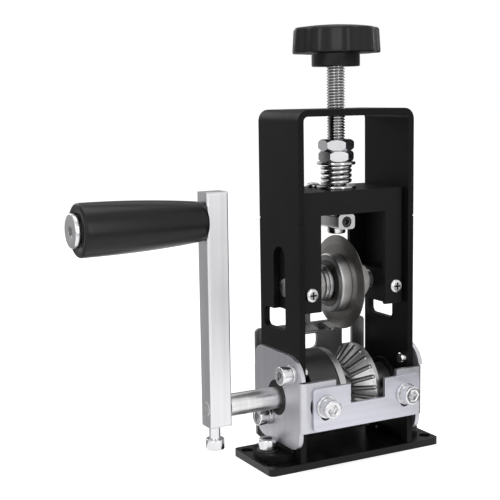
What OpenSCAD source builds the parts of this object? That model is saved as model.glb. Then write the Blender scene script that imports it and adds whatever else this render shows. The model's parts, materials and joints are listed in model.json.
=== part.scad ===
// Hand crank wire stripper: an upright steel frame on a base plate. A toothed V roller on the
// crank shaft draws the cable through, and a round blade in a sprung carriage slits it from above.
// Millimetres, +Z up. The origin is the middle of the base plate's underside, the crank is at -X,
// and the cable runs along Y, in at the front (-Y) and out at the back.

/* [Base plate] */
// Width of the base plate, left to right
base_w = 110; // [108:1:130]
// Depth of the base plate, front to back
base_d = 43; // [42:1:60]
// Thickness of the base plate
base_t = 4; // [3:0.5:8]
// Corner radius of the base plate
base_corner_r = 3; // [1:0.5:5]
// Diameter of the four bench screw holes
base_hole_d = 6.6; // [4:0.1:7]
// Distance between bench screw holes, left to right
base_pitch_x = 100; // [98:0.5:101]
// Distance between bench screw holes, front to back
base_pitch_y = 29; // [28:0.5:31]

/* [Upright frame] */
// Outside width of the bent frame
frame_w = 73; // [70:1:75]
// Depth of the frame, front to back
frame_d = 42; // [40:1:46]
// Wall thickness of the frame
frame_t = 3.5; // [3:0.25:4]
// Height of the frame above the base plate
frame_h = 187; // [180:1:210]
// Outside radius of the two top bends
frame_bend_r = 6; // [5:0.5:9]
// How far a foot reaches out from its leg
foot_len = 15; // [14:0.5:15.5]
// Width of a foot, front to back
foot_w = 27.5; // [24:0.5:28]
// Plan radius of a foot's corners
foot_corner_r = 12; // [9:0.5:12]
// Inside radius of the foot bend
foot_bend_r = 2; // [1:0.5:2.5]
// Width of the upright slots that guide the blade axle
slot_w = 12.2; // [11:0.1:14]
// Height of a slot's round top above the axle
slot_rise = 22.6; // [20:0.2:26]
// Depth of a side window, front to back
window_d = 23; // [18:0.5:25]
// Height of a side window
window_h = 10.8; // [8:0.2:12]
// Corner radius of a side window
window_r = 3; // [1:0.5:4]

/* [Feed roller and shaft] */
// Height of the crank shaft above the base plate
drive_h = 32; // [31:0.5:36]
// Diameter of the crank shaft
shaft_d = 12; // [10:0.5:12]
// Diameter of the shaft's turned end in the crank arm
shaft_end_d = 8; // [6:0.5:8.5]
// Outside radius of the feed roller
roller_r = 23.8; // [22:0.2:24]
// Radius at the bottom of the V groove
valley_r = 14; // [13:0.5:16]
// Half width of the V groove at its rim
groove_half = 9.5; // [8:0.25:10]
// Place of the V groove and the blade edge, left to right
groove_x = 1.2; // [0:0.2:2]
// Number of tooth spaces cut around each flank
tooth_count = 24; // [16:1:26]
// Radius of the cutter that shapes a tooth space
tooth_cut_r = 1.4; // [0.8:0.1:1.5]
// Width of the steel band between the black sleeve and the groove
band_w = 3.7; // [2:0.1:4]
// Thickness of the black sleeve
sleeve_t = 6; // [4:0.5:8]
// Width of the rim land beyond the groove
land_w = 2.1; // [1:0.1:3]
// Radius of the roller's hub
hub_r = 10.4; // [9.4:0.2:12]
// Radius of a bush flange
bush_flange_r = 13.7; // [12:0.1:14]
// Thickness of a bush flange
bush_flange_t = 3; // [2:0.25:4]
// Outside diameter of a bush in the frame wall
bush_d = 18.6; // [16:0.1:19]

/* [Blade] */
// Radius of the round blade
blade_r = 26; // [24:0.5:27]
// Thickness of the blade
blade_t = 2; // [1.4:0.1:2.4]
// Radius of the ring beside the blade
ring_r = 16.4; // [15:0.2:18]
// Width of the ring beside the blade
ring_w = 6.2; // [5:0.1:6.4]
// Gap between the blade and the roller's rim at rest
throat = 10.2; // [8:0.1:12]
// Outside diameter of the blade's bearing
bearing_d = 26; // [23:0.5:28]
// Diameter of the blade axle
axle_d = 10; // [8:0.5:10]

/* [Carriage] */
// Wall thickness of the carriage
carriage_t = 2.5; // [2:0.25:3]
// Height of the carriage
carriage_h = 64; // [62:0.5:66]
// How far the carriage legs reach below the axle
carriage_drop = 12; // [11:0.1:13]
// Width of each carriage leg, seen from the front
leg_w = 12.1; // [11:0.1:13]
// Height of the carriage's front header
header_h = 12.5; // [11:0.5:15]
// Set back of the carriage front from the frame's front edge
front_set = 3.8; // [2:0.2:5]
// Set in of the carriage back from the frame's back edge
back_set = 0.6; // [0.4:0.1:2]
// Travel of the screw below its rest
lower_travel = 16.5; // [14:0.5:16.5]

/* [Lead screw and knob] */
// Diameter of the lead screw
screw_d = 10; // [8:0.5:10]
// Thickness of each jam nut
jam_t = 6; // [5:0.5:7]
// Width across flats of the nuts
nut_af = 17; // [16:0.5:18]
// Height of the spring between its washers
spring_h = 11.3; // [11:0.1:14]
// Wire diameter of the spring
wire_d = 1.6; // [1.2:0.1:1.6]
// Outside diameter of the spring
spring_d = 17.5; // [17:0.1:19]
// Turns of the spring
spring_turns = 2.75; // [2:0.25:2.75]
// Height of the knob's hub above the frame's top
knob_gap = 22.5; // [20:0.5:30]
// Radius of the knob at its lobes
knob_r = 24.1; // [22:0.1:27]
// Depth of the hollows between the lobes
knob_hollow = 2.1; // [1:0.1:3]
// Number of lobes around the knob
knob_lobes = 9; // [6:1:10]
// Height of the knob's head
knob_h = 15; // [13:0.5:18]
// Height of the knob's hub
knob_hub_h = 7; // [5:0.5:9]
// Radius of the knob's hub
knob_hub_r = 13; // [11:0.5:15]

/* [Crank and grip] */
// Distance from the shaft to the grip's axis
crank_r = 99.2; // [80:0.2:110]
// Width of the crank arm, along the shaft
arm_w = 12.5; // [12:0.1:14]
// Depth of the crank arm
arm_d = 11.8; // [11:0.1:14]
// Distance from the frame's left wall to the crank arm
arm_gap = 32.7; // [26:0.1:40]
// Metal beyond the grip's axis
arm_top = 15.1; // [11:0.1:17]
// Metal beyond the shaft's axis
arm_bottom = 9.8; // [9:0.1:12]
// Length of the grip
grip_len = 67.2; // [60:0.2:90]
// Radius of the grip at its outer end
grip_r = 13.5; // [12.5:0.1:16]
// Radius of the grip beside the arm
grip_neck_r = 10.2; // [9.5:0.1:12]
// Diameter of the grip bolt
grip_bolt_d = 8; // [6:0.5:8]
// Diameter of the grip bolt's head
grip_head_d = 17.2; // [14:0.1:18]

/* [Brackets and guide plates] */
// Thickness of the side brackets
bracket_t = 2.5; // [2:0.25:2.75]
// Height of the side brackets
bracket_h = 50.6; // [49:0.2:54]
// Height of a bracket's lower edge above the base plate
bracket_lift = 7.1; // [6:0.1:9]
// Reach of a flange's face beyond the frame's edge
flange_reach = 6; // [5.6:0.1:7]
// Length of the left bracket's front flange
left_flange = 21.2; // [18:0.2:22]
// Length of the right bracket's front flange
right_flange = 17.7; // [17:0.1:19]
// Length of both rear flanges
rear_flange = 17.7; // [17:0.1:19]
// Thickness of both guide plates
plate_t = 2; // [1.5:0.25:2.5]
// Width of the front guide plate
guide_w = 68.4; // [66:0.2:72]
// Height of the front guide plate
guide_h = 23.4; // [22:0.2:26]
// Width of the notch in the front guide plate
notch_w = 22; // [18:0.2:24]
// Depth of the notch in the front guide plate
notch_h = 10.5; // [8:0.1:11]
// Travel of the front guide plate on its slots
guide_travel = 4.4; // [3:0.2:4.4]
// Width of the rear guide plate
rear_w = 73; // [70:0.5:76]
// Height of the rear guide plate
rear_h = 63.5; // [62:0.5:64]

/* [Fasteners] */
// Diameter of the socket head screws
bolt_d = 6; // [5:0.5:6]
// Diameter of their heads
bolt_head_d = 10; // [8.5:0.5:10]
// Height of their heads
bolt_head_h = 6; // [5:0.5:6]
// Outside diameter of their washers
washer_d = 12.2; // [11:0.2:12.4]
// Thickness of their washers
washer_t = 1.6; // [1:0.1:2.2]
// Diameter of the cross recess screws
cross_d = 4; // [3:0.5:4]
// Diameter of their heads
cross_head_d = 7.8; // [6.5:0.1:8]

/* [Hidden] */

// Colours
black_paint = "#2b2b2d";
black_plastic = "#1f1f21";
satin_steel = "#a9aaac";
bright_steel = "#d4d5d8";
pale_steel = "#b9bac4";
blade_steel = "#6f6d6c";
dark_steel = "#3a3a3c";

// Smoothness, and the one overrun of every cut
round_fn = 64;
arc_steps = 6;
over = 1;

// Clearances
fit_clear = 0.02;
run_clear = 0.06;
bolt_clear = 0.15;
face_gap = 0.05;
turn_gap = 0.3;
slide_gap = 0.4;
edge_chamfer = 0.5;

// Fasteners
key_share = 0.48;
key_deep_share = 0.5;
small_key_share = 0.29;
nut_chamfer_share = 0.6;

// Frame
base_top = base_t;
frame_top = base_top + frame_h;
frame_x = frame_w / 2;
frame_in = frame_x - frame_t;
frame_y = frame_d / 2;
foot_screw_share = 0.56;
foot_screw_x = frame_x + foot_len * foot_screw_share;
foot_thread_share = 0.8;
foot_relief = 1;
foot_washer_t = 0.5;
nick_h = 0.8;
nick_depth = 0.7;
nick_share = 0.685;
nick_z = base_top + frame_h * nick_share;

// Drive
drive_z = base_top + drive_h;
roller_x = frame_in - bush_flange_t - turn_gap;
core_r = roller_r - sleeve_t;
band_x = groove_x - groove_half - band_w;
land_x = groove_x + groove_half + land_w;
shaft_bore_r = shaft_d / 2 + fit_clear;
shaft_out = 2;
rim_chamfer = 0.6;
hub_screw_d = 5;
hub_screw_x = (land_x + roller_x) / 2;

// Tooth spaces: a round-nosed cutter lies along each flank, raised by its lift at the nose and
// sinking a little towards the valley
flank_angle = atan(groove_half / (roller_r - valley_r));
flank_len = (roller_r - valley_r) / cos(flank_angle);
tooth_low_share = -0.06;
tooth_nose_share = 0.985;
tooth_lift_share = 0.5;
tooth_sink = 1.5;
tooth_turn_shares = [0.06, 0.36];

// Blade and axle
axle_z = drive_z + roller_r + throat + blade_r;
axle_show = 1;
axle_end = frame_in + axle_show;
edge_share = 0.75;
edge_w = 0.3;
bevel_in = 5;
blade_left = groove_x - blade_t * edge_share;
blade_right = blade_left + blade_t;
ring_left = blade_left - ring_w;
ring_chamfer = 0.8;
race_r = 7.6;
race_left = ring_left - turn_gap;
race_right = blade_right + turn_gap;
spacer_r = 8.6;
left_spacer_w = 1.5;
right_spacer_w = 6.4;
axle_washer_d = 20.5;
axle_washer_t = 2;
axle_nut_t = 8;
left_spacer_x = race_left - left_spacer_w;
left_washer_x = left_spacer_x - axle_washer_t * 2 - face_gap;
left_nut_x = left_washer_x - axle_nut_t;
right_nut_x = race_right + right_spacer_w;

// Carriage
carriage_x = frame_in - slide_gap;
carriage_front = frame_y - front_set;
carriage_back = frame_y - back_set;
carriage_low = axle_z - carriage_drop;
carriage_high = carriage_low + carriage_h;
carriage_roof = carriage_high - carriage_t;
carriage_edge_r = 1.5;
open_x = carriage_x - leg_w;
open_top = carriage_high - header_h;
block_x = carriage_x - carriage_t;
nut_side_gap = 0.75;
block_w = block_x + left_nut_x - nut_side_gap;
block_h = 18;
block_d = 24;
block_front = carriage_front - carriage_t;
block_lift = 0.8;
cross_head_h = 2.4;
cross_len = 7;
cross_slot_share = 0.24;
cross_dome_share = 0.45;
cross_rim_share = 0.35;
leg_screw_share = 0.46;
leg_screw_x = carriage_x - leg_w * leg_screw_share;
leg_drop_share = 0.22;
leg_screw_z = axle_z - axle_d * leg_drop_share;
roof_screw_x = 7;
roof_screw_in = 5;
roof_screw_y = carriage_back - carriage_t - roof_screw_in;
roof_tab_w = 26;
roof_tab_d = 10;
slot_spare = 1.3;
slot_low = axle_z - lower_travel - axle_d / 2 - slot_spare;

// Screw stack, from the carriage upwards
thin_t = 1.5;
lower_washer_d = 21.6;
upper_washer_d = 21;
washer_hole_r = screw_d / 2 + slide_gap;
stack_washer = carriage_high + thin_t;
stack_spring = stack_washer + spring_h + face_gap * 2;
stack_jam = stack_spring + thin_t + face_gap;
stack_mid = stack_jam + jam_t + face_gap;
screw_hole_r = screw_d / 2 + turn_gap;
screw_fit_r = screw_d / 2 + fit_clear;
upper_nut_turn = 9;

// Spring: the wire's ends stand on the washers, and a bend leads each into the curls
spring_r = (spring_d - wire_d) / 2;
spring_bend = wire_d * 0.65;
spring_low = wire_d + spring_bend;
spring_rise = spring_h - spring_low * 2;
curl_rings = 8;
bend_steps = 3;
wire_sides = 6;

// Stop block and sleeve below the carriage roof
block_drop = 11.2;
stop_top = carriage_roof - block_drop;
stop_h = 8;
stop_wall = 0.2;
stop_w = screw_d + stop_wall * 2;
stop_len = 20.8;
stop_corner_r = 1.8;
screw_tip = 3;
screw_low = stop_top - stop_h - screw_tip;
stop_sleeve_wall = 2.2;
stop_sleeve_r = screw_d / 2 + stop_sleeve_wall;

// Knob
knob_low = frame_top + knob_gap;
head_low = knob_low + knob_hub_h;
knob_phase = -28.2;
knob_insert = 12;
lobe_points = 8;
knob_draft = 0.7;
knob_edge = 1.6;
knob_dome = 1.5;
knob_rim_share = 0.82;

// Crank
arm_right = frame_x + arm_gap;
arm_left = arm_right + arm_w;
grip_z = drive_z + crank_r;
arm_edge_r = 1.3;
grip_start = arm_left + turn_gap;
grip_end = grip_start + grip_len;
grip_edge_r = 2.6;
grip_swell = 2.2;
grip_rings = 12;
grip_head_t = 3.1;
clamp_show = 6.8;
clamp_share = 0.61;
clamp_x = -(arm_right + arm_w * clamp_share);
bolt_seat_share = 0.9;

// Brackets
bracket_x = frame_x + bracket_t;
bracket_low = base_top + bracket_lift;
bracket_high = bracket_low + bracket_h;
roller_reach = 3.2;
bracket_y = max(frame_y + flange_reach, roller_r + roller_reach);
bracket_hole_d = 19.4;
flange_low_share = 0.215;
flange_high_share = 0.75;
flange_low = bracket_low + bracket_h * flange_low_share;
flange_high = bracket_low + bracket_h * flange_high_share;
sheet_bend_r = 3;
front_corner_r = 14;
back_corner_r = 7;
front_low_r = 8;
back_low_r = 10.5;
neck_r = 3;
upper_screw_in = 3.8;
upper_screw_y = frame_y - upper_screw_in;
upper_screw_rise = 16.5;
left_screw_show = 2.2;
right_screw_show = 2.9;
round_head_h = 3.2;
bracket_washer_t = 2.1;
lower_screw_y = 8.4;
lower_screw_fall = 11.9;

// Guide plates
guide_screw_x = 25.5;
guide_face = bracket_y + face_gap + plate_t;
rear_face = bracket_y + plate_t;
guide_fall = 13.3;
guide_low = drive_z - guide_fall;
guide_corner_r = 2.5;
notch_x = groove_x;
guide_slot_r = bolt_d / 2 + bolt_clear;
rear_lift = 1;
rear_low = base_top + rear_lift;
rear_high = rear_low + rear_h;
rear_corner_r = 2.5;
rear_chamfer = 2.5;
rear_window_rise = 17;
rear_window_h = 10.5;
rear_window_low = drive_z + rear_window_rise;
rear_window_top = rear_window_low + rear_window_h;
post_left = 3.9;
post_right = 21;
rear_mid = (rear_window_low + rear_window_top) / 2;
rear_left = post_right + bolt_head_d / 2;
rear_window_r = 4;
lip_left = 15;
lip_right = 9;
lip_reach = 13;
lip_fall = 5;
lip_slope_share = 0.33;
lip_corner_r = 5;
prong_corner_r = 2;
fork_w = 7;
tab_left = 9;
tab_right = 0.6;
tab_rise = 15.5;
tab_high = rear_high + tab_rise;

// Points of an arc about [x, y], from one angle to another
function arc(x, y, r, from, to) =
    [for (i = [0 : arc_steps])
        let (a = from + (to - from) * i / arc_steps)
        [x + r * cos(a), y + r * sin(a)]];

// Outline of a rectangle with round corners, centred on the origin
function round_rect(w, d, r) = concat(
    arc(w / 2 - r, d / 2 - r, r, 0, 90),
    arc(r - w / 2, d / 2 - r, r, 90, 180),
    arc(r - w / 2, r - d / 2, r, 180, 270),
    arc(w / 2 - r, r - d / 2, r, 270, 360)
);

// A sheet in the XZ plane, from y towards the back by t
module sheet_xz(y, t) {
    translate([0, y + t, 0])
    rotate([90, 0, 0])
    linear_extrude(t)
    children();
}

// A sheet in the YZ plane, from x towards the right by t
module sheet_yz(x, t) {
    translate([x, 0, 0])
    rotate([90, 0, 90])
    linear_extrude(t)
    children();
}

// Lays children that stand along Z down along +X, starting at x at height z
module along_x(x, z) {
    translate([x, 0, z])
    rotate([0, 90, 0])
    children();
}

// A ring about Z from its foot at z = 0
module ring(h, outer, inner) {
    rotate_extrude($fn = round_fn)
    translate([inner, 0])
    square([outer - inner, h]);
}

// A hexagon nut about Z with chamfered corners and a plain bore
module hex_nut(h, bore_r) {
    corner_r = nut_af / sqrt(3);
    chamfer = (corner_r - nut_af / 2) * nut_chamfer_share;
    difference() {
        intersection() {
            cylinder(h = h, r = corner_r, $fn = 6);
            rotate_extrude($fn = round_fn)
            polygon([
                [0, 0], [nut_af / 2, 0], [corner_r, chamfer],
                [corner_r, h - chamfer], [nut_af / 2, h], [0, h]
            ]);
        }
        translate([0, 0, -over])
        cylinder(h = h + over * 2, r = bore_r, $fn = round_fn);
    }
}

// A socket head screw about Z: its head stands on z = 0 and its shank hangs below
module socket_screw(d, shank, head_d, head_h) {
    key_r = d * key_share;
    difference() {
        rotate_extrude($fn = round_fn)
        polygon([
            [0, -shank], [d / 2 - edge_chamfer, -shank], [d / 2, edge_chamfer - shank], [d / 2, 0],
            [head_d / 2, 0], [head_d / 2, head_h - edge_chamfer],
            [head_d / 2 - edge_chamfer, head_h], [0, head_h]
        ]);
        translate([0, 0, head_h * key_deep_share])
        cylinder(h = head_h, r = key_r, $fn = 6);
    }
}

// A low round head screw about Z: its head stands on z = 0 and its shank hangs below
module round_screw(d, shank, head_d, head_h) {
    difference() {
        rotate_extrude($fn = round_fn)
        polygon(concat(
            [[0, -shank], [d / 2 - edge_chamfer, -shank], [d / 2, edge_chamfer - shank], [d / 2, 0]],
            [for (i = [0 : arc_steps])
                let (a = 90 * i / arc_steps)
                [head_d / 2 * cos(a), head_h * sin(a)]]
        ));
        translate([0, 0, head_h * key_deep_share])
        cylinder(h = head_h, r = d * small_key_share, $fn = 6);
    }
}

// A set screw about Z, its top face with the key socket at z = 0
module set_screw(d, length) {
    difference() {
        translate([0, 0, -length])
        cylinder(h = length, d = d, $fn = round_fn);
        translate([0, 0, -length / 2])
        cylinder(h = length, r = d * small_key_share, $fn = 6);
    }
}

// A domed screw about Z with a cross recess: its head stands on z = 0
module cross_screw() {
    head_r = cross_head_d / 2;
    slot = cross_d * cross_slot_share;
    difference() {
        rotate_extrude($fn = round_fn)
        polygon(concat(
            [[0, -cross_len], [cross_d / 2, -cross_len], [cross_d / 2, 0], [head_r, 0]],
            [for (i = [0 : arc_steps])
                let (a = 90 * i / arc_steps)
                [
                    head_r * (1 - cross_dome_share + cross_dome_share * cos(a)),
                    cross_head_h * (cross_rim_share + (1 - cross_rim_share) * sin(a))
                ]],
            [[0, cross_head_h]]
        ));
        for (turn = [0, 90])
        rotate(turn)
        translate([-cross_d / 2, -slot / 2, cross_head_h / 2])
        cube([cross_d, slot, cross_head_h]);
    }
}

module base_plate() {
    color(black_paint)
    difference() {
        linear_extrude(base_t)
        polygon(round_rect(base_w, base_d, base_corner_r));
        for (x = [-base_pitch_x / 2, base_pitch_x / 2], y = [-base_pitch_y / 2, base_pitch_y / 2])
        translate([x, y, -over])
        cylinder(h = base_t + over * 2, d = base_hole_d, $fn = round_fn);
        for (x = [-foot_screw_x, foot_screw_x])
        translate([x, 0, -over])
        cylinder(h = base_t + over * 2, r = bolt_d / 2 + fit_clear, $fn = round_fn);
    }
}

// One foot of the frame, at +X: a tab bent out of the leg, with a fillet in the bend
module foot() {
    reach = frame_x + foot_len;
    difference() {
        intersection() {
            translate([0, 0, base_top])
            linear_extrude(frame_t + foot_bend_r)
            polygon(concat(
                [[frame_in, -foot_w / 2]],
                arc(reach - foot_corner_r, foot_corner_r - foot_w / 2, foot_corner_r, -90, 0),
                arc(reach - foot_corner_r, foot_w / 2 - foot_corner_r, foot_corner_r, 0, 90),
                [[frame_in, foot_w / 2]]
            ));
            sheet_xz(-frame_y, frame_d)
            polygon(concat(
                [[frame_in, base_top], [reach + over, base_top], [reach + over, base_top + frame_t]],
                arc(frame_x + foot_bend_r, base_top + frame_t + foot_bend_r, foot_bend_r, -90, -180),
                [[frame_in, base_top + frame_t + foot_bend_r]]
            ));
        }
        translate([foot_screw_x, 0, base_top - over])
        cylinder(h = frame_t + over * 2, r = bolt_d / 2 + bolt_clear, $fn = round_fn);
    }
}

// What is cut from the frame wall at +X: axle slot with its window, bush seat and screw holes
module wall_cuts() {
    slot_r = slot_w / 2;
    sheet_yz(frame_in - over, frame_t + over * 2) {
        translate([-slot_r, slot_low + window_r])
        square([slot_w, axle_z + slot_rise - slot_r - slot_low - window_r]);
        translate([0, axle_z + slot_rise - slot_r])
        circle(r = slot_r, $fn = round_fn);
        translate([window_d / 2 - slot_r, slot_low + window_h / 2])
        polygon(round_rect(window_d, window_h, window_r));
    }
    along_x(frame_in - over, drive_z)
    cylinder(h = frame_t + over * 2, r = bush_d / 2 + fit_clear, $fn = round_fn);
    bracket_bolts()
    along_x(frame_in - over, 0)
    cylinder(h = frame_t + over * 2, r = bolt_d / 2 + fit_clear, $fn = round_fn);
    bend_r = frame_t + foot_bend_r;
    for (side = [-1, 1])
    translate([frame_in - over, side * (foot_w + foot_relief) / 2 - foot_relief / 2, base_top - over])
    cube([frame_t + over * 2, foot_relief, bend_r + over]);
    sheet_xz(-foot_w / 2, foot_w)
    polygon(concat(
        [[frame_in - over, base_top - over], [frame_in + bend_r, base_top - over]],
        arc(frame_in + bend_r, base_top + bend_r, bend_r, -90, -180),
        [[frame_in - over, base_top + bend_r]]
    ));
}

// The places of the two bracket screws on one wall
module upper_bolt() {
    translate([0, -upper_screw_y, drive_z + upper_screw_rise])
    children();
}

module lower_bolt() {
    translate([0, lower_screw_y, drive_z - lower_screw_fall])
    children();
}

module bracket_bolts() {
    upper_bolt()
    children();
    lower_bolt()
    children();
}

module frame_bracket() {
    color(black_paint)
    difference() {
        union() {
            difference() {
                sheet_xz(-frame_y, frame_d)
                polygon(concat(
                    [[frame_x, base_top]],
                    arc(frame_x - frame_bend_r, frame_top - frame_bend_r, frame_bend_r, 0, 90),
                    arc(frame_bend_r - frame_x, frame_top - frame_bend_r, frame_bend_r, 90, 180),
                    [[-frame_x, base_top], [-frame_in, base_top]],
                    arc(
                        frame_bend_r - frame_x, frame_top - frame_bend_r,
                        frame_bend_r - frame_t, 180, 90
                    ),
                    arc(
                        frame_x - frame_bend_r, frame_top - frame_bend_r,
                        frame_bend_r - frame_t, 90, 0
                    ),
                    [[frame_in, base_top]]
                ));
                wall_cuts();
                mirror([1, 0, 0])
                wall_cuts();
            }
            rounded_foot();
            mirror([1, 0, 0])
            rounded_foot();
        }
        translate([0, 0, frame_top - frame_t - over])
        cylinder(h = frame_t + over * 2, r = screw_d / 2 + run_clear, $fn = round_fn);
        for (x = [-frame_x, frame_x], y = [-frame_y, frame_y])
        translate([x - frame_t - over, y - nick_depth, nick_z])
        cube([(frame_t + over) * 2, nick_depth * 2, nick_h]);
    }
}

// The foot with the outside of its bend rounded, joined to the leg above the bend
module rounded_foot() {
    bend_r = frame_t + foot_bend_r;
    difference() {
        foot();
        sheet_xz(-frame_y, frame_d)
        polygon(concat(
            [[frame_in - over, base_top - over], [frame_in + bend_r, base_top - over]],
            arc(frame_in + bend_r, base_top + bend_r, bend_r, -90, -180),
            [[frame_in - over, base_top + bend_r]]
        ));
    }
}

module foot_screws() {
    color(bright_steel)
    for (x = [-foot_screw_x, foot_screw_x])
    translate([x, 0, base_top + frame_t + foot_washer_t])
    socket_screw(
        bolt_d, frame_t + foot_washer_t + base_t * foot_thread_share, bolt_head_d, bolt_head_h
    );
}

module foot_washers() {
    color(satin_steel)
    for (x = [-foot_screw_x, foot_screw_x])
    translate([x, 0, base_top + frame_t])
    ring(foot_washer_t, washer_d / 2, bolt_d / 2 + bolt_clear);
}

// Side bracket at +X: the wall's outline, with flanges bent inwards ahead of and behind the frame
module side_bracket(front_flange) {
    y = bracket_y;
    color(satin_steel)
    difference() {
        union() {
            sheet_yz(frame_x, bracket_t)
            polygon(concat(
                arc(front_low_r + neck_r - y, bracket_low + front_low_r, front_low_r, 180, 270),
                arc(y - back_low_r - neck_r, bracket_low + back_low_r, back_low_r, 270, 360),
                [[y - neck_r, flange_low], [y - sheet_bend_r, flange_low]],
                [[y - sheet_bend_r, flange_high], [y - neck_r, flange_high]],
                arc(y - back_corner_r - neck_r, bracket_high - back_corner_r, back_corner_r, 0, 90),
                arc(front_corner_r - y, bracket_high - front_corner_r, front_corner_r, 90, 170),
                [[sheet_bend_r - y, flange_high], [sheet_bend_r - y, flange_low]]
            ));
            flange(front_flange);
            mirror([0, 1, 0])
            flange(rear_flange);
        }
        along_x(frame_x - over, drive_z)
        cylinder(h = bracket_t + over * 2, d = bracket_hole_d, $fn = round_fn);
        bracket_bolts()
        along_x(frame_x - over, 0)
        cylinder(h = bracket_t + over * 2, r = bolt_d / 2 + bolt_clear, $fn = round_fn);
        for (side = [-1, 1])
        translate([guide_screw_x, side * (bracket_y + over), drive_z])
        rotate([side * 90, 0, 0])
        cylinder(h = bracket_t + over * 2, r = bolt_d / 2 + fit_clear, $fn = round_fn);
    }
}

// A flange along the front of the bracket at +X, with its bend
module flange(length) {
    inner_r = sheet_bend_r - bracket_t;
    translate([0, 0, flange_low])
    linear_extrude(flange_high - flange_low)
    polygon(concat(
        [[bracket_x - length, bracket_t - bracket_y], [bracket_x - length, -bracket_y]],
        arc(bracket_x - sheet_bend_r, sheet_bend_r - bracket_y, sheet_bend_r, -90, 0),
        arc(bracket_x - sheet_bend_r, sheet_bend_r - bracket_y, inner_r, 0, -90)
    ));
}

module right_bracket() {
    side_bracket(right_flange);
}

module left_bracket() {
    mirror([1, 0, 0])
    side_bracket(left_flange);
}

// The screws of both brackets: socket heads on washers at the left, low round heads at the right
module bracket_screws() {
    wall = bracket_t + frame_t;
    color(bright_steel) {
        mirror([1, 0, 0]) {
            upper_bolt()
            along_x(bracket_x + bracket_washer_t, 0)
            socket_screw(
                bolt_d, bracket_washer_t + wall + left_screw_show, bolt_head_d, bolt_head_h
            );
            lower_bolt()
            along_x(bracket_x + bracket_washer_t, 0)
            socket_screw(bolt_d, bracket_washer_t + wall, bolt_head_d, bolt_head_h);
        }
        upper_bolt()
        along_x(bracket_x, 0)
        round_screw(bolt_d, wall + right_screw_show, bolt_head_d, round_head_h);
        lower_bolt()
        along_x(bracket_x, 0)
        round_screw(bolt_d, wall, bolt_head_d, round_head_h);
    }
}

module bracket_washers() {
    color(satin_steel)
    mirror([1, 0, 0])
    bracket_bolts()
    along_x(bracket_x, 0)
    ring(bracket_washer_t, bolt_head_d / 2 + bolt_clear, bolt_d / 2 + bolt_clear);
}

// Flanged bush at +X: the flange inside the frame wall, the body through wall and bracket
module flanged_bush() {
    bore_r = shaft_d / 2 + run_clear;
    color(black_plastic)
    along_x(frame_in - bush_flange_t, drive_z)
    rotate_extrude($fn = round_fn)
    polygon([
        [bore_r, 0], [bush_flange_r, 0], [bush_flange_r, bush_flange_t],
        [bush_d / 2, bush_flange_t], [bush_d / 2, bush_flange_t + frame_t + bracket_t],
        [bore_r, bush_flange_t + frame_t + bracket_t]
    ]);
}

module right_bush() {
    flanged_bush();
}

module left_bush() {
    mirror([1, 0, 0])
    flanged_bush();
}

// Front guide plate: notched for the cable, and slotted so that it can be raised on its screws
module guide_plate() {
    color(pale_steel)
    sheet_xz(-guide_face, plate_t)
    difference() {
        translate([notch_x, guide_low + guide_h / 2])
        polygon(round_rect(guide_w, guide_h, guide_corner_r));
        translate([notch_x - notch_w / 2, guide_low + guide_h - notch_h])
        square([notch_w, notch_h + over]);
        for (x = [-guide_screw_x, guide_screw_x]) {
            translate([x, drive_z])
            circle(r = guide_slot_r, $fn = round_fn);
            translate([x, drive_z - guide_travel])
            circle(r = guide_slot_r, $fn = round_fn);
            translate([x - guide_slot_r, drive_z - guide_travel])
            square([guide_slot_r * 2, guide_travel]);
        }
    }
}

// Places one screw or washer on each flange at the front, its head outwards
module guide_bolts(face) {
    for (x = [-guide_screw_x, guide_screw_x])
    translate([x, -face, drive_z])
    rotate([90, 0, 0])
    children();
}

module guide_screws() {
    color(bright_steel)
    guide_bolts(guide_face + face_gap + washer_t)
    socket_screw(
        bolt_d, washer_t + plate_t + bracket_t + face_gap * 2, bolt_head_d, bolt_head_h
    );
}

module guide_washers() {
    color(satin_steel)
    guide_bolts(guide_face + face_gap)
    ring(washer_t, washer_d / 2, bolt_d / 2 + fit_clear);
}

// Rear guide plate: two windows, a post between them, and a forked lip above the cable
module rear_guide() {
    half = rear_w / 2;
    color(satin_steel)
    difference() {
        union() {
            sheet_xz(bracket_y, plate_t)
            difference() {
                polygon(concat(
                    [[-half, rear_low + rear_chamfer], [rear_chamfer - half, rear_low]],
                    [[half - rear_chamfer, rear_low], [half, rear_low + rear_chamfer]],
                    arc(half - rear_corner_r, rear_high - rear_corner_r, rear_corner_r, 0, 90),
                    arc(rear_corner_r - half, rear_high - rear_corner_r, rear_corner_r, 90, 180)
                ));
                translate([(post_right + guide_screw_x + bolt_head_d / 4) / 2, rear_mid])
                polygon(round_rect(
                    guide_screw_x + bolt_head_d / 4 - post_right, rear_window_h, rear_window_r / 4
                ));
                translate([(post_left - rear_left) / 2, rear_mid])
                polygon(round_rect(post_left + rear_left, rear_window_h, rear_window_r));
            }
            lip();
            sheet_xz(bracket_y, plate_t)
            translate([-tab_left, rear_high - over])
            square([tab_left - tab_right, tab_high - rear_high + over]);
        }
        for (x = [-guide_screw_x, guide_screw_x])
        translate([x, bracket_y + plate_t + over, drive_z])
        rotate([90, 0, 0])
        cylinder(h = plate_t + over * 2, r = bolt_d / 2 + bolt_clear, $fn = round_fn);
    }
}

// The lip: bent forward out of the plate's top edge and forked round the blade
module lip() {
    prong(-lip_left, groove_x - fork_w / 2, lip_corner_r, prong_corner_r);
    prong(groove_x + fork_w / 2, lip_right, prong_corner_r, prong_corner_r);
}

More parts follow.
